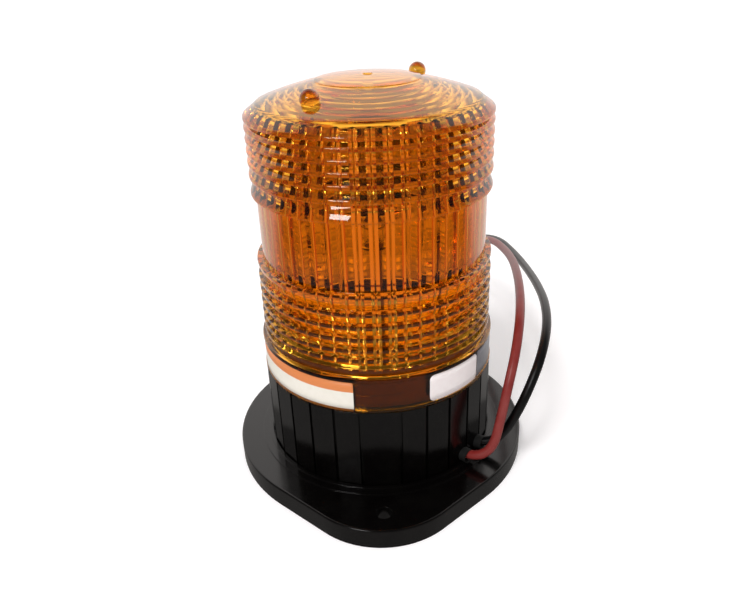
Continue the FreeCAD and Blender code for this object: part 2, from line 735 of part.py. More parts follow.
def make_board_standoffs():
    """Hexagonal pillars on the flange, tapped for the board's screws."""
    pillars = []
    for index, (x, y) in enumerate(standoff_points()):
        pillar = prism(f"pillar_{index}", 6, standoff_radius, standoff_height, x=x, y=y, z=seat_floor)
        tapped = cylinder(f"pillar_bore_{index}", board_screw_radius + bushing_clearance,
                          standoff_height - 2, x=x, y=y, z=seat_floor + 2)
        pillars.append(cut(f"standoff_{index}", pillar, tapped))
    return group("board_standoffs", pillars)


def make_board_screws():
    screws = []
    for index, (x, y) in enumerate(standoff_points()):
        head = cylinder(f"board_screw_head_{index}", board_screw_head_radius, board_screw_head_height,
                        x=x, y=y, z=board_top)
        shank = cylinder(f"board_screw_shank_{index}", board_screw_radius, board_thickness + 6,
                         x=x, y=y, z=board_top - board_thickness - 6)
        screws.append(fuse(f"board_screw_{index}", [head, shank]))
    return group("board_screws", screws)


capacitor_radius = size("capacitor_radius", 10.0, "storage capacitor")
capacitor_height = size("capacitor_height", 24.0, "storage capacitor")
core_length = size("core_length", 24.0, "transformer core, along X")
core_depth = size("core_depth", 12.0, "transformer core, along Y")
core_height = size("core_height", 21.0, "transformer core")
core_limb = size("core_limb", 3.5, "outer limb of the core; the middle one is twice as wide")
bobbin_wall = size("bobbin_wall", 0.8, "transformer bobbin")
winding_depth = size("winding_depth", 3.6, "copper on the bobbin")
core_x, core_y = 14.0, 12.0


def make_storage_capacitor():
    """The electrolytic can that the inverter charges, with its rolled groove near the foot."""
    body = new_body("storage_capacitor")
    radius, top = capacitor_radius, board_top + capacitor_height
    revolve(body, "can", [(0, board_top), (radius, board_top), (radius, board_top + 2.2),
                          (radius - 0.7, board_top + 2.7), (radius - 0.7, board_top + 3.2),
                          (radius, board_top + 3.7), (radius, top - 0.8), (radius - 0.8, top), (0, top)])
    body.Placement = App.Placement(App.Vector(-16.0, 8.0, 0), App.Rotation())
    return body


def make_transformer_core():
    """The ferrite core: a closed frame with a middle limb, standing on the board."""
    height = core_height - core_limb * 2
    window = (core_length - core_limb * 4) / 2
    frame = block("core_frame", core_length, core_depth, core_height, x=core_x - plain(core_length) / 2,
                  y=core_y - plain(core_depth) / 2, z=board_top)
    windows = []
    for index, offset in enumerate((-core_limb - window, core_limb)):
        windows.append(block(f"core_window_{index}", window, core_depth, height, x=offset + core_x,
                             y=core_y - plain(core_depth) / 2, z=board_top + core_limb))
    return cut("transformer_core", frame, fuse("core_windows", windows))


def square_tube(label, inner_x, inner_y, wall, height, foot):
    """A rectangular tube round the core's middle limb."""
    outer = block(label + "_outer", inner_x + wall * 2, inner_y + wall * 2, height,
                  x=core_x - plain(inner_x + wall * 2) / 2, y=core_y - plain(inner_y + wall * 2) / 2, z=foot)
    inner = block(label + "_inner", inner_x, inner_y, height, x=core_x - plain(inner_x) / 2,
                  y=core_y - plain(inner_y) / 2, z=foot)
    return cut(label, outer, inner)


def make_transformer_bobbin():
    """The plastic former that slips over the middle limb, with a flange at each end."""
    inner_x, inner_y = core_limb * 2 + 0.2, core_depth + 0.2
    foot = board_top + core_limb + 0.1
    height = core_height - core_limb * 2 - 0.2
    tube = square_tube("bobbin_tube", inner_x, inner_y, bobbin_wall, height, foot)
    flange_wall = bobbin_wall + winding_depth
    lower = square_tube("bobbin_lower", inner_x, inner_y, flange_wall, bobbin_wall, foot)
    upper = square_tube("bobbin_upper", inner_x, inner_y, flange_wall, bobbin_wall,
                        foot + height - bobbin_wall)
    return fuse("transformer_bobbin", [tube, lower, upper])


def make_transformer_winding():
    """The copper between the bobbin's flanges."""
    inner_x = core_limb * 2 + 0.2 + bobbin_wall * 2 + 0.1
    inner_y = core_depth + 0.2 + bobbin_wall * 2 + 0.1
    foot = board_top + core_limb + 0.1 + bobbin_wall + 0.05
    height = core_height - core_limb * 2 - 0.2 - bobbin_wall * 2 - 0.1
    return square_tube("transformer_winding", inner_x, inner_y, winding_depth - 0.4, height, foot)


sink_length = size("sink_length", 20.0, "heat sink, along X")
sink_height = size("sink_height", 18.0, "heat sink")
sink_back = size("sink_back", 1.6, "heat sink's back plate")
sink_fin = size("sink_fin", 5.5, "depth of a fin")
sink_fin_count = 6
sink_x, sink_y = 0.0, -24.0
transistor_width = size("transistor_width", 10.2, "switching transistor")
transistor_height = size("transistor_height", 15.4, "switching transistor, tab and body")
transistor_depth = size("transistor_depth", 4.4, "switching transistor's body")
tab_thickness = size("tab_thickness", 1.3, "switching transistor's tab")


def make_heat_sink():
    """A finned aluminium sink behind the transistor."""
    left = sink_x - plain(sink_length) / 2
    pieces = [block("sink_plate", sink_length, sink_back, sink_height, x=left, y=sink_y, z=board_top)]
    pitch = (sink_length - 1.2) / (sink_fin_count - 1)
    for index in range(sink_fin_count):
        pieces.append(block(f"sink_fin_{index}", 1.2, sink_fin, sink_height, x=pitch * index + left,
                            y=sink_y - plain(sink_fin), z=board_top))
    return fuse("heat_sink", pieces)


def make_switching_transistor():
    """A tabbed power transistor that stands on three legs against the heat sink."""
    left = sink_x - plain(transistor_width) / 2
    face = sink_back + sink_y
    tab = block("transistor_tab", transistor_width, tab_thickness, transistor_height, x=left, y=face,
                z=board_top + 2.5)
    case = block("transistor_case", transistor_width, transistor_depth, transistor_height * 0.6, x=left,
                 y=face, z=board_top + 2.5)
    legs = [block(f"transistor_leg_{index}", 0.9, 0.6, 3.0, x=sink_x - 3.0 + 2.54 * index, y=face + 2.0,
                  z=board_top) for index in range(3)]
    return fuse("switching_transistor", [tab, case] + legs)


def make_timing_chip():
    """The eight-pin chip that sets the flash rate."""
    case = block("chip_case", 9.6, 6.4, 3.3, x=-14.0, y=-14.0, z=board_top + 0.9)
    pins = []
    for row, y in enumerate((-14.7, -7.6)):
        for index in range(4):
            pins.append(block(f"chip_pin_{row}_{index}", 0.6, 0.7, 2.6, x=-13.4 + 2.54 * index, y=y,
                              z=board_top))
    notch = cylinder("chip_notch", 0.9, 0.5, x=-14.0, y=-10.8, z=board_top + 3.8)
    return cut("timing_chip", fuse("chip_and_pins", [case] + pins), notch)


axial_wire_radius = size("axial_wire_radius", 0.3, "wire of a resistor or diode")
resistor_radius = size("resistor_radius", 1.25, "resistor")
resistor_length = size("resistor_length", 6.5, "resistor")
diode_radius = size("diode_radius", 1.4, "diode")
diode_length = size("diode_length", 5.0, "diode")


def axial(label, radius, length, x, y, turn):
    """A part with a wire at each end: its barrel lies just above the board on two upright legs."""
    centre = board_top + radius + 0.4
    half = length / 2
    span = half + 2.2
    pieces = [place(cylinder(label + "_barrel", radius, length), x=-plain(half), z=centre,
                    turn=90, axis=App.Vector(0, 1, 0)),
              place(cylinder(label + "_wire", axial_wire_radius, span * 2), x=-plain(span), z=centre,
                    turn=90, axis=App.Vector(0, 1, 0))]
    for end, offset in enumerate((-plain(span), plain(span))):
        pieces.append(cylinder(f"{label}_leg_{end}", axial_wire_radius + 0.1,
                               radius + 0.4 + axial_wire_radius * 1.4, x=offset, z=board_top))
    thing = fuse(label, pieces)
    thing.Placement = App.Placement(App.Vector(x, y, 0), App.Rotation(App.Vector(0, 0, 1), turn))
    return thing


def make_resistors():
    places = ((-27.5, -6.0, 90.0), (4.0, -8.0, 0.0), (4.0, -12.5, 0.0), (-12.5, -18.2, 0.0),
              (3.0, 26.0, 0.0))
    return group("resistors", [axial(f"resistor_{index}", resistor_radius, resistor_length, x, y, turn)
                               for index, (x, y, turn) in enumerate(places)])


def make_diodes():
    places = ((29.5, 3.0, 90.0), (1.5, 21.5, 0.0), (-12.0, -4.2, 0.0))
    return group("diodes", [axial(f"diode_{index}", diode_radius, diode_length, x, y, turn)
                            for index, (x, y, turn) in enumerate(places)])


def make_film_capacitors():
    """Box-shaped trigger and timing capacitors."""
    boxes = []
    for index, (x, y, length, width, height) in enumerate(((14.5, -6.0, 9.0, 4.5, 8.0),
                                                            (16.0, -13.0, 7.5, 4.0, 7.0),
                                                            (-21.5, 21.5, 9.0, 4.0, 8.0))):
        boxes.append(block(f"film_capacitor_{index}", length, width, height, x=x, y=y, z=board_top))
    return group("film_capacitors", boxes)


trigger_coil_radius = size("trigger_coil_radius", 4.5, "trigger coil")
trigger_coil_height = size("trigger_coil_height", 11.0, "trigger coil")


def make_trigger_coil():
    """The small pulse transformer that fires the tube: a wound drum between two cheeks."""
    body = new_body("trigger_coil")
    radius, top = trigger_coil_radius, board_top + trigger_coil_height
    revolve(body, "drum", [(0, board_top), (radius, board_top), (radius, board_top + 1.2),
                           (radius - 0.8, board_top + 1.2), (radius - 0.8, top - 1.2),
                           (radius, top - 1.2), (radius, top), (0, top)])
    body.Placement = App.Placement(App.Vector(18.0, -20.0, 0), App.Rotation())
    return body


# ---- supply leads -----------------------------------------------------------------------------------

lead_start = size("lead_start", 37.0, "axis to a lead's inner end")
terminal_length = size("terminal_length", 15.0, "terminal block across the leads")
terminal_depth = size("terminal_depth", 8.5, "terminal block")
terminal_height = size("terminal_height", 9.6, "terminal block")


def radial(thing, radius, angle, z):
    """Lays a part's own Z along the radius at an angle."""
    x, y = polar(1.0, angle)
    thing.Placement = App.Placement(App.Vector(radius * x, radius * y, z),
                                    App.Rotation(App.Vector(0, 0, 1), App.Vector(x, y, 0)))
    return thing


def make_terminal_block():
    """Two screw terminals on the flange, just inside the lead exits."""
    middle = (red_exit_angle.value + black_exit_angle.value) / 2
    case = block("terminal_case", terminal_depth, terminal_length, terminal_height)
    screws = [cylinder(f"terminal_well_{index}", 1.8, 3.0, x=terminal_depth / 2,
                       y=terminal_length / 2 + offset, z=terminal_height - 3.0)
              for index, offset in enumerate((-3.8, 3.8))]
    thing = cut("terminal_block", case, fuse("terminal_wells", screws))
    x, y = polar(lead_start.value - 0.6 - terminal_depth.value, middle)
    across_x, across_y = polar(terminal_length.value / 2, middle + 90)
    thing.Placement = App.Placement(App.Vector(x - across_x, y - across_y, seat_floor.value),
                                    App.Rotation(App.Vector(0, 0, 1), middle))
    return thing


def make_lead_bushings():
    """A rubber bushing in the housing wall for each lead, with its collar inside."""
    collar = 1.0
    bushings = []
    for name, angle in (("red", red_exit_angle), ("black", black_exit_angle)):
        inner_face = plain(housing_bore) - collar - 0.4
        sleeve = radial(cylinder(name + "_sleeve", bushing_diameter / 2, plain(bushing_reach) - inner_face),
                        inner_face, angle.value, lead_height.value)
        rim = radial(cylinder(name + "_rim", bushing_diameter / 2 + 1.0, collar), inner_face, angle.value,
                     lead_height.value)
        bore = radial(cylinder(name + "_bore", lead_diameter / 2 + bushing_clearance, 12.0),
                      inner_face - 1, angle.value, lead_height.value)
        mouth = document.addObject("Part::Cone", name + "_mouth")
        bind(mouth, "Radius1", lead_diameter / 2 + bushing_clearance)
        bind(mouth, "Radius2", bushing_diameter / 2 - 0.1)
        bind(mouth, "Height", bushing_flare)
        mouth = radial(mouth, plain(bushing_reach - bushing_flare), angle.value, lead_height.value)
        bored = cut(name + "_bored", fuse(name + "_solid", [sleeve, rim]), bore)
        bushings.append(cut(name + "_bushing", bored, mouth))
    return group("lead_bushings", bushings)


def exit_run(angle, reach):
    """The straight start of a lead, out through its bushing."""
    points = []
    for radius in (lead_start.value, reach):
        x, y = polar(radius, angle.value)
        points.append((x, y, lead_height.value))
    return points


# Each lead springs up beside the housing, arches back past the lens and comes down behind it, where
# its last stretch lies on the surface that the beacon stands on.
red_route = exit_run(red_exit_angle, 46.2) + [
    (39.5, -34.0, 15.0), (42.2, -31.4, 25.6), (44.8, -29.0, 38.5), (48.3, -22.5, 49.3), (51.8, -10.0, 56.6),
    (54.8, 7.0, 58.6), (57.3, 26.0, 57.0), (59.3, 45.0, 54.0), (59.6, 64.0, 50.6), (58.0, 83.0, 47.4),
    (53.5, 101.0, 41.5), (46.0, 115.0, 31.5), (37.0, 124.0, 17.5), (26.5, 130.0, 5.5), (13.0, 132.0, 1.75),
    (0.0, 131.0, 1.75)]
black_route = exit_run(black_exit_angle, 46.2) + [
    (44.7, -26.0, 15.8), (48.4, -27.6, 24.8), (52.8, -26.5, 35.4), (57.8, -20.8, 45.2), (62.2, -9.0, 51.0),
    (64.9, 7.0, 52.0), (66.5, 25.0, 50.0), (67.4, 44.0, 47.2), (67.6, 63.0, 44.4), (66.6, 82.0, 42.2),
    (63.8, 101.0, 40.4), (57.3, 118.0, 35.5), (48.0, 131.0, 25.5), (37.5, 139.5, 12.8), (25.5, 144.5, 3.6),
    (11.0, 146.0, 1.75), (-2.0, 144.0, 1.75)]


def make_lead(name, route):
    """One insulated lead and the bare strands at its end, as two nodes."""
    points = [App.Vector(*point) for point in route]
    radii = free_arcs(points)
    radius = lead_diameter.value / 2
    solid, length = tube_along(points, radius, radii)
    print(name, "length", round(length, 1), "arc radii", [round(value, 1) for value in radii],
          "volume share", round(solid.Volume / (math.pi * radius ** 2 * length), 5))
    heading = (points[-1] - points[-2]).normalize()
    strands = Part.makeCylinder(strand_diameter.value / 2, strand_length.value, points[-1], heading)
    return [shape_node(name, solid), shape_node(name + "_strands", strands)]


# ---- lens and its gasket ----------------------------------------------------------------------------

def make_lens_gasket():
    """The flat rubber ring in the top of the lens skirt, which the collar's rim presses."""
    body = new_body("lens_gasket")
    sketch = sketch_on(body, "gasket_rings", height=seal_foot)
    circle(sketch, 0, 0, skirt_bore - seal_gap)
    circle(sketch, 0, 0, collar_bore)
    pad(body, sketch, "ring", seal_thickness)
    return body


def lens_profile():
    """Half the lens in section, from the rim up the outside, over the crown and down the inside."""
    neck = lip_radius - 1.6
    corners = [(skirt_bore, skirt_rim), (lip_radius, skirt_rim), (lip_radius, skirt_rim + lip_height),
               (skirt_radius, skirt_rim + lip_height), (skirt_radius, skirt_top - top_lip_height),
               (lip_radius, skirt_top - top_lip_height + 0.4), (lip_radius, skirt_top - 0.5),
               (lip_radius - 0.5, skirt_top), (neck, skirt_top)]
    # Lower rings: each face leans in towards its foot, and its ledge faces up.
    crest = skirt_rim + first_lower_ring
    below = skirt_top
    for pitch in lower_ring_pitches + [0.0]:
        valley = valley_radius if pitch else band_radius
        shoulder = crest - crest_edge - crest_flat
        corners += [(lower_ring_radius - face_bow, (shoulder + below) / 2), (lower_ring_radius, shoulder),
                    (lower_ring_radius, crest - crest_edge), (lower_ring_radius - crest_edge, crest),
                    (valley, crest)]
        below = crest
        crest = crest + pitch
    # Upper rings: each ledge faces down, and its face leans in towards its top.
    ledge = crest + band_height
    valley = band_radius
    for pitch in upper_ring_pitches + [crown_drop]:
        above = ledge + pitch
        shoulder = ledge + crest_edge + crest_flat
        corners += [(valley, ledge), (upper_ring_radius - crest_edge, ledge),
                    (upper_ring_radius, ledge + crest_edge), (upper_ring_radius, shoulder),
                    (upper_ring_radius - face_bow, (shoulder + above) / 2)]
        ledge = above
        valley = valley_radius
    # Crown: smooth outside, with a slightly raised disc.
    edge = ledge
    disc = edge + crown_rise
    apex = disc + crown_apex
    corners += [(crown_radius, edge - crown_edge), (crown_radius - crown_edge, edge),
                ((crown_radius + crown_disc_radius) / 2, edge + (crown_rise - disc_rim) / 2 + crown_bow),
                (crown_disc_radius + 0.2, disc - disc_rim), (crown_disc_radius, disc),
                (gate_radius, apex), (gate_radius, apex + gate_height), (0, apex + gate_height)]
    # Underneath it falls to the wall in flat rings.
    under = disc - crown_thickness
    corners += [(0, under)]
    step = (lens_wall_radius - crown_disc_radius) / (crown_steps + 1)
    for index in range(crown_steps):
        radius = crown_disc_radius + step * index
        corners += [(radius, under), (radius, under - crown_step)]
        under = under - crown_step
    corners += [(lens_wall_radius, under), (lens_wall_radius, inner_shoulder),
                (skirt_bore, inner_shoulder)]
    return corners, edge, under


def make_lens_dome():
    """The amber lens: smooth crown, prism rings outside, upright ribs inside and two grip balls."""
    body = new_body("lens_dome")
    corners, edge, under = lens_profile()
    revolve(body, "shell", corners)
    foot = inner_shoulder + rib_gap
    rib = sketch_on(body, "rib_circle", height=foot)
    circle(rib, lens_wall_radius, 0, rib_radius)
    first = pad(body, rib, "rib", under + 0.3 - foot)
    pattern(body, [first], "ribs", rib_count)
    for index, angle in enumerate(pin_angles):
        x, y = polar(pin_circle.value, angle)
        ball = body.newObject("PartDesign::AdditiveSphere", f"pin_ball_{index}")
        bind(ball, "Radius", pin_ball_radius)
        ball.Placement = App.Placement(App.Vector(x, y, (edge + pin_ball_height).value), App.Rotation())
        body.Tip = ball
    return body


# ---- build, check and write -------------------------------------------------------------------------

def build():
    nodes = [make_mounting_flange(), make_fluted_housing(), make_housing_gasket(), make_housing_screws(),
             make_deck_plate(), make_deck_screws(), make_tube_post(), make_tube_base(), make_flash_tube(),
             make_tube_electrodes(), make_anode_lead(), make_trigger_wire(), make_circuit_board(),
             make_board_standoffs(), make_board_screws(), make_storage_capacitor(),
             make_transformer_core(), make_transformer_bobbin(), make_transformer_winding(),
             make_heat_sink(), make_switching_transistor(), make_timing_chip(), make_resistors(),
             make_diodes(), make_film_capacitors(), make_trigger_coil(), make_terminal_block(),
             make_lead_bushings(), make_lens_gasket(), make_lens_dome()]
    nodes += make_lead("red_lead", red_route) + make_lead("black_lead", black_route)
    document.recompute()
    return nodes


def check(nodes):
    """Stops where anything failed to rebuild or a node has no sound solid."""
    for thing in document.Objects:
        if "Invalid" in thing.State or "Error" in thing.State:
            raise RuntimeError(f"{thing.Name} did not rebuild: {thing.State}")
    for node in nodes:
        if node.Shape.isNull() or not node.Shape.isValid() or not node.Shape.Solids:
            raise RuntimeError(f"{node.Label} has no sound solid")


def write(nodes):
    os.makedirs("parts", exist_ok=True)
    for node in nodes:
        node.Shape.exportStep(f"parts/{node.Label}.step")
        box = node.Shape.BoundBox
        print(f"{node.Label}: {len(node.Shape.Solids)} solids, {node.Shape.Volume:.0f} mm3, "
              f"z {box.ZMin:.1f} to {box.ZMax:.1f}")


nodes = build()
check(nodes)
write(nodes)
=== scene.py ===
"""A surface-mount xenon warning strobe: black fluted housing, amber prism lens, two supply leads."""
import math

import bmesh
import bpy
from mathutils import Matrix, Vector


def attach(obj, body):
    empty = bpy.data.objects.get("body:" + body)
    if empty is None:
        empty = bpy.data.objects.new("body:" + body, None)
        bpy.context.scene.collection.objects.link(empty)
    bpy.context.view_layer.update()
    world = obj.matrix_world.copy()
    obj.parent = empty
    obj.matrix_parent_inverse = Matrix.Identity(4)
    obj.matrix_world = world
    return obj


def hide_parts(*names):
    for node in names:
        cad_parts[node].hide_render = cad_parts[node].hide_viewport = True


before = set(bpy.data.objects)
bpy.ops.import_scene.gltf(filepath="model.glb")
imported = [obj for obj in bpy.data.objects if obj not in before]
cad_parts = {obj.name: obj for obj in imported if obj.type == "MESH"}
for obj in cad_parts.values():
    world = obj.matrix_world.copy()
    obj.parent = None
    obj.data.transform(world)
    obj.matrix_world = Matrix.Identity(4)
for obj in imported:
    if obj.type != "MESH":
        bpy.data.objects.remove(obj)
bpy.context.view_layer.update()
scene = bpy.context.scene
scene.view_settings.view_transform = "Standard"
# Light runs a long way inside the thick prism lens before it comes out again.
scene.cycles.max_bounces, scene.cycles.glossy_bounces, scene.cycles.transmission_bounces = 24, 16, 24
MM = 0.001

# ---- Camera -----------------------------------------------------------------------------------------
# The beacon stands on a table, seen from a little above the lens and close by, with the camera held
# slightly askew.

camera = bpy.data.objects.new("camera", bpy.data.cameras.new("camera"))
scene.collection.objects.link(camera)
camera.data.lens = 33.91
camera.data.sensor_width = 36.0
camera.data.clip_start = 0.01
camera.matrix_world = (Matrix.Translation((0.0, -0.2340, 0.1771))
                       @ Matrix.Rotation(math.radians(0.09), 4, "Z")
                       @ Matrix.Rotation(math.radians(90 - 26.73), 4, "X")
                       @ Matrix.Rotation(math.radians(-2.18), 4, "Z"))
scene.camera = camera

# ---- Table, air and lamps ---------------------------------------------------------------------------
# A wide flat sheet of white paper in a studio: a soft key light high on the left, a low soft box below
# it, and a bright backdrop behind the beacon. The camera's side of the room is dim.


def linear(code):
    """An sRGB hex colour as linear red, green, blue and alpha."""
    channels = [int(code[place:place + 2], 16) / 255 for place in (1, 3, 5)]
    return tuple(value / 12.92 if value <= 0.04045 else ((value + 0.055) / 1.055) ** 2.4
                 for value in channels) + (1.0,)


def add(tree, kind, feeds=None, **settings):
    """Adds a node; feeds gives its inputs, by name or number, a value or another node's output."""
    made = tree.nodes.new(kind)
    for name, value in settings.items():
        setattr(made, name, value)
    for name, value in (feeds or {}).items():
        if isinstance(value, bpy.types.NodeSocket):
            tree.links.new(value, made.inputs[name])
        else:
            made.inputs[name].default_value = value
    return made


def eased(tree, value, low, high, to_low, to_high):
    """A value mapped smoothly from one range to another."""
    made = add(tree, "ShaderNodeMapRange", {"Value": value, "From Min": low, "From Max": high,
                                            "To Min": to_low, "To Max": to_high},
               interpolation_type="SMOOTHSTEP")
    return made.outputs[0]


def times(tree, one, other):
    return add(tree, "ShaderNodeMath", {0: one, 1: other}, operation="MULTIPLY").outputs[0]


# The eye sees a white room and matt surfaces take a plain fill from it. Gloss sees the studio: bright
# behind, fading overhead and dark in front. Clear plastic sees it duller low down and grey in front.
room = bpy.data.worlds.new("studio")
scene.world = room
room.use_nodes = True
room.node_tree.nodes.clear()
air = room.node_tree
ray = add(air, "ShaderNodeLightPath")
way = add(air, "ShaderNodeSeparateXYZ", {0: add(air, "ShaderNodeTexCoord").outputs["Generated"]})
backdrop = times(air, eased(air, way.outputs["Y"], -0.05, 0.45, 0.0, 1.0),
                 eased(air, way.outputs["Z"], 0.72, 0.97, 1.0, 0.25))
for_gloss = add(air, "ShaderNodeMath", {0: backdrop, 1: 1.12, 2: 0.06}, operation="MULTIPLY_ADD")
horizon = eased(air, way.outputs["Z"], 0.05, 0.35, 0.15, 1.4)
for_plastic = add(air, "ShaderNodeMath", {0: backdrop, 1: horizon, 2: 0.4}, operation="MULTIPLY_ADD")
brightness = add(air, "ShaderNodeMix", {0: ray.outputs["Is Transmission Ray"], 2: for_gloss.outputs[0],
                                        3: for_plastic.outputs[0]})
studio = add(air, "ShaderNodeBackground", {"Color": linear("#fffaf7"), "Strength": brightness.outputs[0]})
fill = add(air, "ShaderNodeBackground", {"Color": linear("#fffdfb"), "Strength": 0.62})
white = add(air, "ShaderNodeBackground", {"Color": linear("#ffffff"), "Strength": 1.0})
sharp = add(air, "ShaderNodeMath", {0: ray.outputs["Is Glossy Ray"], 1: ray.outputs["Is Transmission Ray"]},
            operation="MAXIMUM")
seen = add(air, "ShaderNodeMixShader", {0: sharp.outputs[0], 1: fill.outputs[0], 2: studio.outputs[0]})
seen = add(air, "ShaderNodeMixShader", {0: ray.outputs["Is Camera Ray"], 1: seen.outputs[0],
                                        2: white.outputs[0]})
add(air, "ShaderNodeOutputWorld", {"Surface": seen.outputs[0]})


def finish(name):
    """An empty material, its tree and the pattern coordinates of the object that wears it."""
    made = bpy.data.materials.new(name)
    made.use_nodes = True
    made.node_tree.nodes.clear()
    return made, made.node_tree, add(made.node_tree, "ShaderNodeTexCoord").outputs["Object"]


# Matt paper: off-white, with the faintest cloud in its tone. The eye sees it lit and with the beacon's
# shadow on it. Gloss sees it glowing with painted light instead: a painted reflection, bright behind
# the beacon and with painted shade in front. Clear plastic sees painted light and shade: bright at the
# sides, bright just in front with painted amber light from the lens and dark beyond, and brightest
# behind at about half a metre.
white_paper, tree, place = finish("white_paper")
cloud = add(tree, "ShaderNodeTexNoise", {"Vector": place, "Scale": 1 / 0.08, "Detail": 3.0})
tone = add(tree, "ShaderNodeValToRGB", {0: cloud.outputs["Fac"]})
tone.color_ramp.elements[0].color = linear("#faf8f9")
tone.color_ramp.elements[1].color = linear("#fdfbfc")
path = add(tree, "ShaderNodeLightPath")
lift = times(tree, path.outputs["Is Camera Ray"], 0.25)
matt = add(tree, "ShaderNodeBsdfPrincipled", {"Base Color": tone.outputs[0], "Roughness": 0.9,
                                              "Specular IOR Level": 0.1, "Emission Color": tone.outputs[0],
                                              "Emission Strength": lift})
spot = add(tree, "ShaderNodeSeparateXYZ", {0: place})
reach = add(tree, "ShaderNodeVectorMath", {0: place}, operation="LENGTH").outputs["Value"]
aside = add(tree, "ShaderNodeMath", {0: spot.outputs["X"]}, operation="ABSOLUTE").outputs[0]
# Painted reflection: gloss sees the paper glow, brightest behind the beacon, with painted shade in front.
painted_gloss_strength = eased(tree, spot.outputs["Y"], 0.0, 0.12, eased(tree, reach, 0.2, 0.27, 0.2, 0.04), 1.0)
painted_reflection = add(tree, "ShaderNodeEmission", {"Color": linear("#fffaf6"), "Strength": painted_gloss_strength})
# Painted light and shade that clear plastic sees: dim close behind, bright at half a metre, dark far in
# front.
in_front = eased(tree, reach, 0.3, 0.4, 0.95, 0.1)
behind = eased(tree, reach, 0.5, 1.0, eased(tree, reach, 0.2, 0.42, 0.42, 0.95), 0.5)
middle = eased(tree, spot.outputs["Y"], -0.05, 0.08, in_front, behind)
# Painted amber light in front of the beacon, where light through the lens falls.
painted_amber_light = add(tree, "ShaderNodeMix", {0: eased(tree, spot.outputs["Y"], -0.06, 0.1, 1.0, 0.0),
                                     6: linear("#fffaf6"), 7: linear("#ffb084")}, data_type="RGBA")
through = add(tree, "ShaderNodeEmission", {"Color": painted_amber_light.outputs[2],
                                           "Strength": eased(tree, aside, 0.1, 0.3, middle, 0.9)})
sheet = add(tree, "ShaderNodeMixShader", {0: path.outputs["Is Glossy Ray"], 1: matt.outputs[0],
                                          2: painted_reflection.outputs[0]})
sheet = add(tree, "ShaderNodeMixShader", {0: path.outputs["Is Transmission Ray"], 1: sheet.outputs[0],
                                          2: through.outputs[0]})
add(tree, "ShaderNodeOutputMaterial", {"Surface": sheet.outputs[0]})

paper = bpy.data.objects.new("paper", bpy.data.meshes.new("paper"))
scene.collection.objects.link(paper)
shape = bmesh.new()
bmesh.ops.create_grid(shape, x_segments=8, y_segments=8, size=6.0)
shape.to_mesh(paper.data)
shape.free()
paper.data.materials.append(white_paper)


def aimed(made, azimuth, elevation, distance):
    """Stands a light off the middle of the beacon; azimuth 0 is in front, and it grows to the left."""
    turn, rise = math.radians(azimuth), math.radians(elevation)
    away = Vector((-math.sin(turn) * math.cos(rise), -math.cos(turn) * math.cos(rise), math.sin(rise)))
    made.matrix_world = (Matrix.Translation(Vector((0, 0, 0.07)) + away * distance)
                         @ away.to_track_quat("Z", "Y").to_matrix().to_4x4())
    scene.collection.objects.link(made)


# The key light is left out of reflections, and the soft box draws the highlights.
key = bpy.data.objects.new("key_light", bpy.data.lights.new("key_light", "SUN"))
key.data.energy, key.data.angle = 1.25, math.radians(14)
key.visible_glossy = False
aimed(key, 31, 57, 2.0)
box = bpy.data.objects.new("low_soft_box", bpy.data.lights.new("low_soft_box", "AREA"))
box.data.shape = "RECTANGLE"
box.data.size, box.data.size_y, box.data.energy = 0.38, 0.2, 2.8
aimed(box, 31, 27, 1.3)

# ---- Supply leads -----------------------------------------------------------------------------------
# Two stranded copper leads in thick vinyl. They leave through bushings low on the right of the housing,
# spring up, arch back past the lens and end behind the beacon, stripped for the terminals.

lead_diameter = 3.4 * MM


def vinyl(name, colour, scuffed):
    """Extruded vinyl: one strong colour, faintly drawn along its length, with a soft wet gloss."""
    made, tree, place = finish(name)
    drawn = add(tree, "ShaderNodeTexNoise", {"Vector": place, "Scale": 1 / 0.006, "Detail": 4.0})
    tone = add(tree, "ShaderNodeValToRGB", {0: drawn.outputs["Fac"]})
    tone.color_ramp.elements[0].position, tone.color_ramp.elements[1].position = 0.35, 0.75
    tone.color_ramp.elements[0].color, tone.color_ramp.elements[1].color = linear(colour), linear(scuffed)
    sheen = add(tree, "ShaderNodeMapRange", {"Value": drawn.outputs["Fac"], "To Min": 0.26, "To Max": 0.42})
    fine = add(tree, "ShaderNodeTexNoise", {"Vector": place, "Scale": 1 / 0.0012, "Detail": 2.0})
    uneven = add(tree, "ShaderNodeBump", {"Height": fine.outputs["Fac"], "Strength": 0.25,
                                          "Distance": 0.00008})
    skin = add(tree, "ShaderNodeBsdfPrincipled", {"Base Color": tone.outputs[0], "IOR": 1.53,
                                                  "Roughness": sheen.outputs[0],
                                                  "Normal": uneven.outputs[0]})
    add(tree, "ShaderNodeOutputMaterial", {"Surface": skin.outputs[0]})
    return made


def supply_lead(name, points, insulation):
    """One insulated lead along its route, given in millimetres from inside the housing outwards."""
    line = bpy.data.curves.new(name, "CURVE")
    line.dimensions = "3D"
    run = line.splines.new("NURBS")
    run.points.add(len(points) - 1)
    for knot, (x, y, z) in zip(run.points, points):
        knot.co = (x * MM, y * MM, z * MM, 1.0)
    run.order_u = 3
    run.use_endpoint_u = True
    run.resolution_u = 14
    line.bevel_depth = lead_diameter / 2
    line.bevel_resolution = 7
    line.use_fill_caps = True
    line.materials.append(insulation)
    made = bpy.data.objects.new(name, line)
    scene.collection.objects.link(made)
    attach(made, "base")
    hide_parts(name.replace("_insulated", ""))
    return made


red_vinyl = vinyl("red_vinyl", "#7e2522", "#8c3a36")
black_vinyl = vinyl("black_vinyl", "#060606", "#0f0f10")
housing_exit = 37.0


def leaving(angle, reach):
    """The straight start of a lead out through the wall, at an angle round the housing."""
    across, back = math.cos(math.radians(angle)), math.sin(math.radians(angle))
    return [(housing_exit * across, housing_exit * back, 10.8), (reach * across, reach * back, 10.8)]


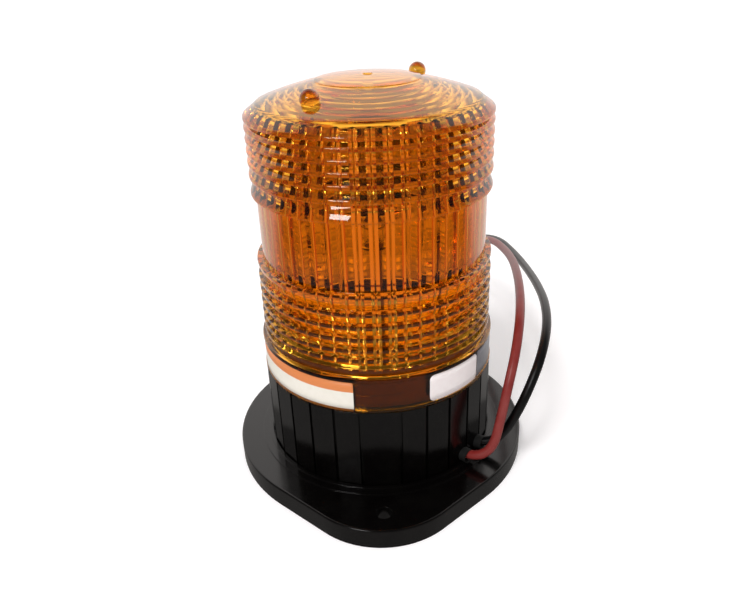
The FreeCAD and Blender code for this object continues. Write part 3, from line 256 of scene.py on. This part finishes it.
red_route = leaving(-45.5, 46.2) + [
    (39.5, -34.0, 15.0), (42.2, -31.4, 25.6), (44.8, -29.0, 38.5), (48.3, -22.5, 49.3), (51.8, -10.0, 56.6),
    (54.8, 7.0, 58.6), (57.3, 26.0, 57.0), (59.3, 45.0, 54.0), (59.6, 64.0, 50.6), (58.0, 83.0, 47.4),
    (53.5, 101.0, 41.5), (46.0, 115.0, 31.5), (37.0, 124.0, 17.5), (26.5, 130.0, 5.5), (13.0, 132.0, 1.75),
    (0.0, 131.0, 1.75)]
black_route = leaving(-33.3, 46.2) + [
    (44.7, -26.0, 15.8), (48.4, -27.6, 24.8), (52.8, -26.5, 35.4), (57.8, -20.8, 45.2), (62.2, -9.0, 51.0),
    (64.9, 7.0, 52.0), (66.5, 25.0, 50.0), (67.4, 44.0, 47.2), (67.6, 63.0, 44.4), (66.6, 82.0, 42.2),
    (63.8, 101.0, 40.4), (57.3, 118.0, 35.5), (48.0, 131.0, 25.5), (37.5, 139.5, 12.8), (25.5, 144.5, 3.6),
    (11.0, 146.0, 1.75), (-2.0, 144.0, 1.75)]
supply_lead("red_lead_insulated", red_route, red_vinyl)
supply_lead("black_lead_insulated", black_route, black_vinyl)

# Bare copper: bright, pulled into fine twisted strands that show as slanted lines.
bare_copper, tree, place = finish("bare_copper")
strands = add(tree, "ShaderNodeTexWave", {"Vector": place, "Scale": 1 / 0.0024, "Distortion": 0.6},
              bands_direction="DIAGONAL")
tone = add(tree, "ShaderNodeValToRGB", {0: strands.outputs["Fac"]})
tone.color_ramp.elements[0].color, tone.color_ramp.elements[1].color = linear("#8a4a2c"), linear("#e0a07a")
twist = add(tree, "ShaderNodeBump", {"Height": strands.outputs["Fac"], "Strength": 0.8, "Distance": 0.0002})
metal = add(tree, "ShaderNodeBsdfPrincipled", {"Base Color": tone.outputs[0], "Metallic": 1.0,
                                               "Roughness": 0.28, "Normal": twist.outputs[0]})
add(tree, "ShaderNodeOutputMaterial", {"Surface": metal.outputs[0]})


def wear(names, material):
    """Gives CAD pieces their finish."""
    for name in names:
        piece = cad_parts[name]
        piece.data.materials.clear()
        piece.data.materials.append(material)


wear(["red_lead_strands", "black_lead_strands"], bare_copper)

# ---- Flange and fluted housing ----------------------------------------------------------------------
# Injection moulded in glossy black plastic. The housing is screwed down on the flange from below; its
# wall is a ring of flat panels with a groove between each pair.


def moulded_black(name, colour, marked, roughness, edge_mm):
    """Glossy moulded plastic: near black, a fine orange-peel skin, and edges that catch the light."""
    made, tree, place = finish(name)
    cloud = add(tree, "ShaderNodeTexNoise", {"Vector": place, "Scale": 1 / 0.009, "Detail": 5.0,
                                             "Roughness": 0.6})
    tone = add(tree, "ShaderNodeValToRGB", {0: cloud.outputs["Fac"]})
    tone.color_ramp.elements[0].position, tone.color_ramp.elements[1].position = 0.4, 0.8
    tone.color_ramp.elements[0].color, tone.color_ramp.elements[1].color = linear(colour), linear(marked)
    sheen = add(tree, "ShaderNodeMapRange", {"Value": cloud.outputs["Fac"], "To Min": roughness * 0.8,
                                             "To Max": roughness * 1.5})
    peel = add(tree, "ShaderNodeTexNoise", {"Vector": place, "Scale": 1 / 0.0016, "Detail": 2.0})
    edge = add(tree, "ShaderNodeBevel", {"Radius": edge_mm * MM}, samples=4)
    skin = add(tree, "ShaderNodeBump", {"Height": peel.outputs["Fac"], "Strength": 0.12,
                                        "Distance": 0.00006, "Normal": edge.outputs[0]})
    body = add(tree, "ShaderNodeBsdfPrincipled", {"Base Color": tone.outputs[0], "IOR": 1.5,
                                                  "Roughness": sheen.outputs[0],
                                                  "Normal": skin.outputs[0]})
    add(tree, "ShaderNodeOutputMaterial", {"Surface": body.outputs[0]})
    return made


black_plastic = moulded_black("glossy_black_abs", "#040303", "#0a0908", 0.14, 0.25)
satin_plastic = moulded_black("satin_black_phenolic", "#0c0b0a", "#161412", 0.35, 0.2)
wear(["mounting_flange", "fluted_housing"], black_plastic)
wear(["deck_plate"], satin_plastic)

# Soft rubber: charcoal, matt, with a dusty bloom.
black_rubber, tree, place = finish("black_rubber")
bloom = add(tree, "ShaderNodeTexNoise", {"Vector": place, "Scale": 1 / 0.003, "Detail": 6.0})
tone = add(tree, "ShaderNodeValToRGB", {0: bloom.outputs["Fac"]})
tone.color_ramp.elements[0].color, tone.color_ramp.elements[1].color = linear("#0b0b0b"), linear("#1c1c1b")
grain = add(tree, "ShaderNodeBump", {"Height": bloom.outputs["Fac"], "Strength": 0.3, "Distance": 0.0001})
soft = add(tree, "ShaderNodeBsdfPrincipled", {"Base Color": tone.outputs[0], "Roughness": 0.75,
                                              "Normal": grain.outputs[0]})
add(tree, "ShaderNodeOutputMaterial", {"Surface": soft.outputs[0]})
wear(["housing_gasket", "lens_gasket", "lead_bushings"], black_rubber)

# Zinc plate over steel: cool grey with a faint brushed grain.
zinc_plate, tree, place = finish("zinc_plated_steel")
drawn = add(tree, "ShaderNodeTexNoise", {"Vector": place, "Scale": 1 / 0.0015, "Detail": 4.0})
tone = add(tree, "ShaderNodeValToRGB", {0: drawn.outputs["Fac"]})
tone.color_ramp.elements[0].color, tone.color_ramp.elements[1].color = linear("#8d9092"), linear("#b9bbba")
sheen = add(tree, "ShaderNodeMapRange", {"Value": drawn.outputs["Fac"], "To Min": 0.22, "To Max": 0.4})
metal = add(tree, "ShaderNodeBsdfPrincipled", {"Base Color": tone.outputs[0], "Metallic": 1.0,
                                               "Roughness": sheen.outputs[0]})
add(tree, "ShaderNodeOutputMaterial", {"Surface": metal.outputs[0]})
wear(["housing_screws", "deck_screws", "board_screws", "tube_electrodes", "anode_lead", "trigger_wire",
      "tube_post"], zinc_plate)

# ---- Circuit inside the housing ---------------------------------------------------------------------
# The board and its parts stand on three pillars under the deck, out of sight.


def component(name, colour, other, size_mm, roughness, metallic=0.0):
    """The mottled finish of a bought-in part."""
    made, tree, place = finish(name)
    spots = add(tree, "ShaderNodeTexNoise", {"Vector": place, "Scale": 1 / (size_mm * MM), "Detail": 3.0})
    tone = add(tree, "ShaderNodeValToRGB", {0: spots.outputs["Fac"]})
    tone.color_ramp.elements[0].color, tone.color_ramp.elements[1].color = linear(colour), linear(other)
    rough = add(tree, "ShaderNodeMapRange", {"Value": spots.outputs["Fac"], "To Min": roughness * 0.8,
                                             "To Max": min(1.0, roughness * 1.25)})
    body = add(tree, "ShaderNodeBsdfPrincipled", {"Base Color": tone.outputs[0], "Metallic": metallic,
                                                  "Roughness": rough.outputs[0]})
    add(tree, "ShaderNodeOutputMaterial", {"Surface": body.outputs[0]})
    return made


for names, coat in (
        (["circuit_board"], component("solder_masked_board", "#0f4a22", "#146030", 2.0, 0.3)),
        (["board_standoffs", "transformer_bobbin"],
         component("natural_nylon", "#d8d4c4", "#e6e2d4", 1.0, 0.5)),
        (["storage_capacitor"], component("shrunk_sleeve", "#16203c", "#1c2a4c", 3.0, 0.3)),
        (["transformer_core"], component("sintered_ferrite", "#3a3a3c", "#4a4a4c", 0.6, 0.6)),
        (["transformer_winding", "trigger_coil"],
         component("enamelled_copper", "#8a3a1c", "#b8602f", 0.5, 0.3, 1.0)),
        (["heat_sink"], component("extruded_aluminium", "#a9abad", "#c3c5c6", 0.8, 0.35, 1.0)),
        (["switching_transistor", "timing_chip", "diodes"],
         component("moulded_epoxy", "#151515", "#222221", 0.5, 0.5)),
        (["resistors"], component("resistor_lacquer", "#b59a6a", "#c8ae7e", 1.0, 0.35)),
        (["film_capacitors"], component("potted_box", "#a83a22", "#b8482e", 1.5, 0.35)),
        (["terminal_block"], component("green_nylon", "#1f6a3a", "#2a7a46", 1.5, 0.45))):
    wear(names, coat)

# ---- Flash tube -------------------------------------------------------------------------------------
# Hard glass, clear and slightly cold, standing in its cap on a steel rod.

tube_glass, tree, place = finish("hard_glass")
ripple = add(tree, "ShaderNodeTexNoise", {"Vector": place, "Scale": 1 / 0.006, "Detail": 1.0})
drawn = add(tree, "ShaderNodeBump", {"Height": ripple.outputs["Fac"], "Strength": 0.1, "Distance": 0.0002})
tint = add(tree, "ShaderNodeValToRGB", {0: ripple.outputs["Fac"]})
tint.color_ramp.elements[0].color, tint.color_ramp.elements[1].color = linear("#f2f6f7"), linear("#ffffff")
glass = add(tree, "ShaderNodeBsdfPrincipled", {"Base Color": tint.outputs[0], "Transmission Weight": 1.0,
                                               "IOR": 1.47, "Roughness": 0.02, "Normal": drawn.outputs[0]})
add(tree, "ShaderNodeOutputMaterial", {"Surface": glass.outputs[0]})
wear(["flash_tube", "tube_base"], tube_glass)

# ---- Amber lens -------------------------------------------------------------------------------------
# One piece of clear amber polycarbonate. Outside, prism rings stand above and below a plain band; their
# ledges face the band. Inside, 48 upright ribs with a blunt ridge cross them. The crown is smooth outside
# and falls in flat rings underneath.

ribs = 48
wall, valley, band, upper_valley, upper_crest, lower_crest = 37.1, 39.2, 39.3, 38.3, 41.0, 41.4
rim, skirt, lip, bore, shoulder_inside = 38.7, 42.0, 42.4, 39.5, 51.2
lower_ledges = [55.1, 58.75, 62.3, 66.5, 70.8, 75.3, 81.4]
upper_ledges = [104.3, 110.1, 114.5, 118.3, 121.9, 125.6, 128.6]
lower_crest_height, upper_crest_height = 1.6, 1.35
crown_edge, crown_radius, crown_disc, crown_rise, crown_steps, crown_wall = 133.3, 37.3, 17.2, 5.9, 6, 2.3
crown_step, crown_foot, crown_round, crown_bow = 0.98, 131.02, 0.7, 0.35
disc_rim, disc_swell, gate_radius, gate_height = 0.35, 1.1, 1.5, 0.35
rib_half_width, rib_height, rib_bluntness, rib_foot = 1.4, 1.25, 0.35, 52.8


def rounded(corners):
    """A polyline through (radius, height, rounding) corners, with each rounding drawn as a short arc."""
    points = []
    for index, (r, z, size) in enumerate(corners):
        here = Vector((r, z))
        if not size or index in (0, len(corners) - 1):
            points.append((r, z))
            continue
        before = Vector(corners[index - 1][:2]) - here
        after = Vector(corners[index + 1][:2]) - here
        size = min(size, before.length * 0.45, after.length * 0.45)
        start, end = here + before.normalized() * size, here + after.normalized() * size
        middle = (start + end) / 4 + here / 2
        points += [tuple(start), tuple(middle), tuple(end)]
    return points


def lens_outside():
    """The lens in section from its rim up the outside to the gate on the crown."""
    corners = [(bore, rim, 0), (lip, rim, 0.3), (lip, rim + 1.0, 0.25), (skirt, rim + 1.1, 0),
               (skirt, 50.0, 0), (lip, 50.3, 0.3), (lip, 51.8, 0.7), (lip - 1.7, 51.85, 0.2)]
    for ledge in lower_ledges:
        last = ledge == lower_ledges[-1]
        corners += [(lower_crest, ledge - lower_crest_height, 1.3),
                    (lower_crest, ledge, 0.9 if last else 0.35),
                    (band if last else valley, ledge, 0 if last else 0.25)]
    # The ring next above the band has a long face that starts low down.
    corners += [(band, upper_ledges[0], 0), (upper_crest, upper_ledges[0], 0.35),
                (upper_crest, upper_ledges[0] + 0.8, 0.5), (39.9, upper_ledges[0] + 3.3, 0)]
    for ledge in upper_ledges[1:]:
        corners += [(upper_valley, ledge, 0.25), (upper_crest, ledge, 0.35),
                    (upper_crest, ledge + upper_crest_height, 0.9)]
    edge, top = crown_radius - crown_round, crown_edge + crown_rise
    corners += [(crown_radius, crown_edge - crown_round, 0.25), (edge, crown_edge, 0.5)]
    for reach in [step / 8 for step in range(1, 8)]:
        bowed = 4 * crown_bow * reach * (1 - reach)
        corners.append((edge - (edge - crown_disc - 0.2) * reach,
                        crown_edge + (crown_rise - disc_rim) * reach + bowed, 0))
    corners += [(crown_disc + 0.2, top - disc_rim, 0.08), (crown_disc, top, 0.12)]
    # The disc swells in a shallow curve, with its heights to a hundredth of a millimetre.
    corners += [(r, top + round(disc_swell * (1 - (r / crown_disc) ** 2), 2), 0) for r in (13.0, 8.5, 4.0)]
    corners += [(gate_radius + 0.1, top + disc_swell, 0), (gate_radius, top + disc_swell + 0.3, 0.1),
                (0, top + disc_swell + gate_height, 0)]
    return rounded(corners)


def lens_inside():
    """The inside in section, from under the gate down to the rim; the last value is the rib's share."""
    height = crown_edge + crown_rise - crown_wall
    rows = [(0, height, 0)]
    for step in range(crown_steps):
        reach = crown_disc + (wall - crown_disc) * step / (crown_steps + 1)
        rows += [(reach - 0.1, height, 0), (reach, height - 0.1, 0), (reach, height - crown_step, 0)]
        height -= crown_step
    return rows + [(wall, crown_foot, 0), (wall, crown_foot, 1), (wall, 110, 1), (wall, 92, 1),
                   (wall, 74, 1), (wall, rib_foot + 0.7, 1), (wall, rib_foot + 0.15, 0.7),
                   (wall, rib_foot, 0), (wall, shoulder_inside, 0), (bore, shoulder_inside, 0)]


def lens_sector():
    """One forty-eighth of the lens, with a rib down the middle of its inner face."""
    half = math.pi / ribs
    rib_half = rib_half_width / wall
    fall = rib_height / (math.hypot(rib_half_width, rib_bluntness) - rib_bluntness)
    offsets = [rib_half * share for share in (-1, -0.7, -0.45, -0.25, -0.1, 0, 0.1, 0.25, 0.45, 0.7, 1)]
    angles = [-half, -(half + rib_half) / 2] + offsets + [(half + rib_half) / 2, half]
    rows = [(r, z, 0) for r, z in lens_outside()] + lens_inside()
    shape = bmesh.new()
    grid = []
    for r, z, share in rows:
        if r == 0:
            grid.append([shape.verts.new((0, 0, z * MM))] * len(angles))
            continue
        line = []
        for angle in angles:
            reach = r
            if share and abs(angle) < rib_half:
                slope = (math.hypot(angle * wall, rib_bluntness) - rib_bluntness) * fall
                reach = r - share * (rib_height - slope)
            across, aside = reach * MM * math.cos(angle), reach * MM * math.sin(angle)
            line.append(shape.verts.new((across, aside, z * MM)))
        grid.append(line)
    for row, upper in zip(grid, grid[1:] + grid[:1]):
        for column in range(len(angles) - 1):
            corners = [row[column], row[column + 1], upper[column + 1], upper[column]]
            around = [corner for place, corner in enumerate(corners) if corner not in corners[:place]]
            if len(around) > 2:
                shape.faces.new(around)
    mesh = bpy.data.meshes.new("lens_sector")
    shape.to_mesh(mesh)
    shape.free()
    return mesh


def repeated_round(name, mesh, count, material):
    """Repeats a mesh about the lens axis with a geometry tree, and returns one joined object."""
    tree = bpy.data.node_groups.new(name + "_round", "GeometryNodeTree")
    tree.interface.new_socket("Piece", in_out="INPUT", socket_type="NodeSocketGeometry")
    copies = tree.interface.new_socket("Copies", in_out="INPUT", socket_type="NodeSocketInt")
    tree.interface.new_socket("Ring", in_out="OUTPUT", socket_type="NodeSocketGeometry")
    given = add(tree, "NodeGroupInput")
    centre = add(tree, "GeometryNodePoints", {"Count": given.outputs["Copies"]})
    share = add(tree, "ShaderNodeMath", {0: math.tau, 1: given.outputs["Copies"]}, operation="DIVIDE")
    turn = add(tree, "ShaderNodeMath", {0: add(tree, "GeometryNodeInputIndex").outputs[0],
                                        1: share.outputs[0]}, operation="MULTIPLY")
    about = add(tree, "ShaderNodeCombineXYZ", {"Z": turn.outputs[0]})
    placed = add(tree, "GeometryNodeInstanceOnPoints", {"Points": centre.outputs[0],
                                                        "Instance": given.outputs["Piece"]})
    turned = add(tree, "GeometryNodeRotateInstances", {"Instances": placed.outputs[0],
                                                       "Rotation": about.outputs[0]})
    real = add(tree, "GeometryNodeRealizeInstances", {"Geometry": turned.outputs[0]})
    joined = add(tree, "GeometryNodeMergeByDistance", {"Geometry": real.outputs[0], "Distance": 0.000004})
    coated = add(tree, "GeometryNodeSetMaterial", {"Geometry": joined.outputs[0], "Material": material})
    add(tree, "NodeGroupOutput", {"Ring": coated.outputs[0]})
    maker = bpy.data.objects.new(name + "_maker", mesh)
    scene.collection.objects.link(maker)
    modifier = maker.modifiers.new("round", "NODES")
    modifier.node_group = tree
    modifier[copies.identifier] = count
    made = bpy.data.objects.new(name, bpy.data.meshes.new_from_object(
        maker.evaluated_get(bpy.context.evaluated_depsgraph_get())))
    made.data.name = name
    bpy.data.objects.remove(maker)
    scene.collection.objects.link(made)
    return made


def smooth(piece, angle):
    """Turns a mesh's faces outwards and shades it smooth except across edges sharper than an angle."""
    shape = bmesh.new()
    shape.from_mesh(piece.data)
    bmesh.ops.recalc_face_normals(shape, faces=shape.faces)
    shape.to_mesh(piece.data)
    shape.free()
    piece.data.shade_smooth()
    piece.data.set_sharp_from_angle(angle=math.radians(angle))


# Clear amber polycarbonate: mirror-smooth mouldings, hardly any haze, a little flow ripple.
amber, tree, place = finish("clear_amber_polycarbonate")
flow = add(tree, "ShaderNodeTexNoise", {"Vector": place, "Scale": 1 / 0.012, "Detail": 2.0})
tint = add(tree, "ShaderNodeValToRGB", {0: flow.outputs["Fac"]})
tint.color_ramp.elements[0].color, tint.color_ramp.elements[1].color = linear("#e3a02c"), linear("#e8a836")
ripple = add(tree, "ShaderNodeBump", {"Height": flow.outputs["Fac"], "Strength": 0.1, "Distance": 0.0003})
lens_skin = add(tree, "ShaderNodeBsdfPrincipled", {"Base Color": tint.outputs[0], "IOR": 1.585,
                                                   "Transmission Weight": 1.0, "Roughness": 0.03,
                                                   "Normal": ripple.outputs[0]})
add(tree, "ShaderNodeOutputMaterial", {"Surface": lens_skin.outputs[0]})

lens_shell = repeated_round("lens_shell", lens_sector(), ribs, amber)
smooth(lens_shell, 32)
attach(lens_shell, "lens")
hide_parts("lens_dome")


def turned_piece(name, corners, sides, material, x=0.0, y=0.0):
    """A closed turned solid from a section given from the axis at the bottom to the axis at the top."""
    shape = bmesh.new()
    grid = []
    for r, z in corners:
        if r == 0:
            grid.append([shape.verts.new((x * MM, y * MM, z * MM))] * sides)
            continue
        grid.append([shape.verts.new(((x + r * math.cos(math.tau * side / sides)) * MM,
                                      (y + r * math.sin(math.tau * side / sides)) * MM, z * MM))
                     for side in range(sides)])
    for row, upper in zip(grid, grid[1:]):
        for side in range(sides):
            corners = [row[side], row[(side + 1) % sides], upper[(side + 1) % sides], upper[side]]
            around = [corner for spot, corner in enumerate(corners) if corner not in corners[:spot]]
            if len(around) > 2:
                shape.faces.new(around)
    mesh = bpy.data.meshes.new(name)
    shape.to_mesh(mesh)
    shape.free()
    made = bpy.data.objects.new(name, mesh)
    scene.collection.objects.link(made)
    mesh.materials.append(material)
    smooth(made, 35)
    return made


# Grip pins: two balls half sunk in the crown, for turning the lens by hand.
ball, ball_height = 3.0, crown_edge + 3.9
for name, angle in (("grip_ball_front", -128.0), ("grip_ball_back", 52.0)):
    section = [(0, ball_height - 1.4)] + [
        (ball * math.sin(turn), ball_height - ball * math.cos(turn))
        for turn in (math.radians(degrees) for degrees in range(62, 176, 6))] + [(0, ball_height + ball)]
    pin = turned_piece(name, section, 48, amber, x=28.2 * math.cos(math.radians(angle)),
                       y=28.2 * math.sin(math.radians(angle)))
    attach(pin, "lens")

# ---- Collar thread -----------------------------------------------------------------------------------
# The lens screws onto the collar. One coarse right-hand ridge is moulded round the collar, with a blunt
# crest and a lead of 4 mm, and shows once the lens has risen.

thread_lead, thread_foot, thread_turns = 4.0, 40.6, 1.75
thread_root, thread_crest, root_half, crest_half = 38.55, 39.25, 0.65, 0.25


def collar_thread():
    """The helical ridge, which fades out over its first and last 20 degrees."""
    steps, whole = 126, 360 * thread_turns
    shape = bmesh.new()
    rings = []
    for step in range(steps + 1):
        turned = whole * step / steps
        angle, height = math.radians(turned), thread_foot + thread_lead * turned / 360
        full = min(1.0, turned / 20 + 0.05, (whole - turned) / 20 + 0.05)
        tip = thread_root + (thread_crest - thread_root) * full
        rings.append([shape.verts.new((r * MM * math.cos(angle), r * MM * math.sin(angle), z * MM))
                      for r, z in ((thread_root, height - root_half), (tip, height - crest_half),
                                   (tip, height + crest_half), (thread_root, height + root_half))])
    for ring, other in zip(rings, rings[1:]):
        for corner in range(4):
            shape.faces.new((ring[corner], ring[corner - 1], other[corner - 1], other[corner]))
    shape.faces.new(rings[0])
    shape.faces.new(rings[-1])
    mesh = bpy.data.meshes.new("collar_thread")
    shape.to_mesh(mesh)
    shape.free()
    made = bpy.data.objects.new("collar_thread", mesh)
    scene.collection.objects.link(made)
    mesh.materials.append(black_plastic)
    smooth(made, 30)
    return made


ridge = collar_thread()
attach(ridge, "base")

# ---- Labels on the skirt ----------------------------------------------------------------------------
# Printed vinyl stickers round the lens skirt, left bare: a long white one with an orange top, a white
# one with round corners and a silver one.


def sticker(name, start, end, bottom, top, corner, material):
    """A thin curved sheet on the skirt; angles go round from the front, right-handed."""
    reach = 42.04
    width, height = math.radians(end - start) * reach, top - bottom
    across = [corner * (1 - math.cos(math.pi / 2 * step / 6)) for step in range(7)]
    stations = across + [width * step / 60 for step in range(1, 60)
                         if corner < width * step / 60 < width - corner]
    stations += [width - value for value in reversed(across)]
    shape = bmesh.new()
    grid = []
    for station in stations:
        inset = corner - min(corner, station, width - station)
        trim = corner - math.sqrt(max(0.0, corner ** 2 - inset ** 2))
        angle = math.radians(start - 90) + station / reach
        grid.append([shape.verts.new((reach * MM * math.cos(angle), reach * MM * math.sin(angle),
                                      (bottom + trim + (height - 2 * trim) * step / 4) * MM))
                     for step in range(5)])
    for row, other in zip(grid, grid[1:]):
        for step in range(4):
            shape.faces.new((row[step], other[step], other[step + 1], row[step + 1]))
    mesh = bpy.data.meshes.new(name)
    shape.to_mesh(mesh)
    shape.free()
    made = bpy.data.objects.new(name, mesh)
    scene.collection.objects.link(made)
    mesh.materials.append(material)
    smooth(made, 40)
    thick = made.modifiers.new("thickness", "SOLIDIFY")
    thick.thickness, thick.offset = 0.1 * MM, 1.0
    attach(made, "lens")
    return made


def printed_vinyl(name, ground, banner=None, edge_mm=0.0, metallic=0.0, roughness=0.35):
    """Sticker stock: a calendered film with a low gloss, and a printed banner above a height."""
    made, tree, place = finish(name)
    fibre = add(tree, "ShaderNodeTexNoise", {"Vector": place, "Scale": 1 / 0.0025, "Detail": 4.0})
    tone = add(tree, "ShaderNodeValToRGB", {0: fibre.outputs["Fac"]})
    tone.color_ramp.elements[0].color = linear(ground[0])
    tone.color_ramp.elements[1].color = linear(ground[1])
    colour = tone.outputs[0]
    if banner:
        height = add(tree, "ShaderNodeSeparateXYZ", {0: place})
        above = add(tree, "ShaderNodeMath", {0: height.outputs["Z"], 1: edge_mm * MM},
                    operation="GREATER_THAN")
        printed = add(tree, "ShaderNodeMix", {0: above.outputs[0], 6: colour, 7: linear(banner)},
                      data_type="RGBA")
        colour = printed.outputs[2]
    uneven = add(tree, "ShaderNodeBump", {"Height": fibre.outputs["Fac"], "Strength": 0.15,
                                          "Distance": 0.00005})
    film = add(tree, "ShaderNodeBsdfPrincipled", {"Base Color": colour, "Roughness": roughness,
                                                  "Metallic": metallic, "Normal": uneven.outputs[0]})
    add(tree, "ShaderNodeOutputMaterial", {"Surface": film.outputs[0]})
    return made


sticker("warning_label", -95.0, -11.8, 39.0, 50.1, 0.6,
        printed_vinyl("white_vinyl_orange_banner", ("#e6e0d2", "#f1ede4"), "#dc854c", 46.3))
sticker("maker_label", 23.5, 54.0, 39.9, 50.0, 1.8, printed_vinyl("white_vinyl", ("#f1e6e6", "#fbf5f4")))
sticker("rating_label", 54.6, 96.0, 39.9, 50.0, 0.6,
        printed_vinyl("silver_foil", ("#8d8d95", "#a7a7ae"), metallic=0.5, roughness=0.3))
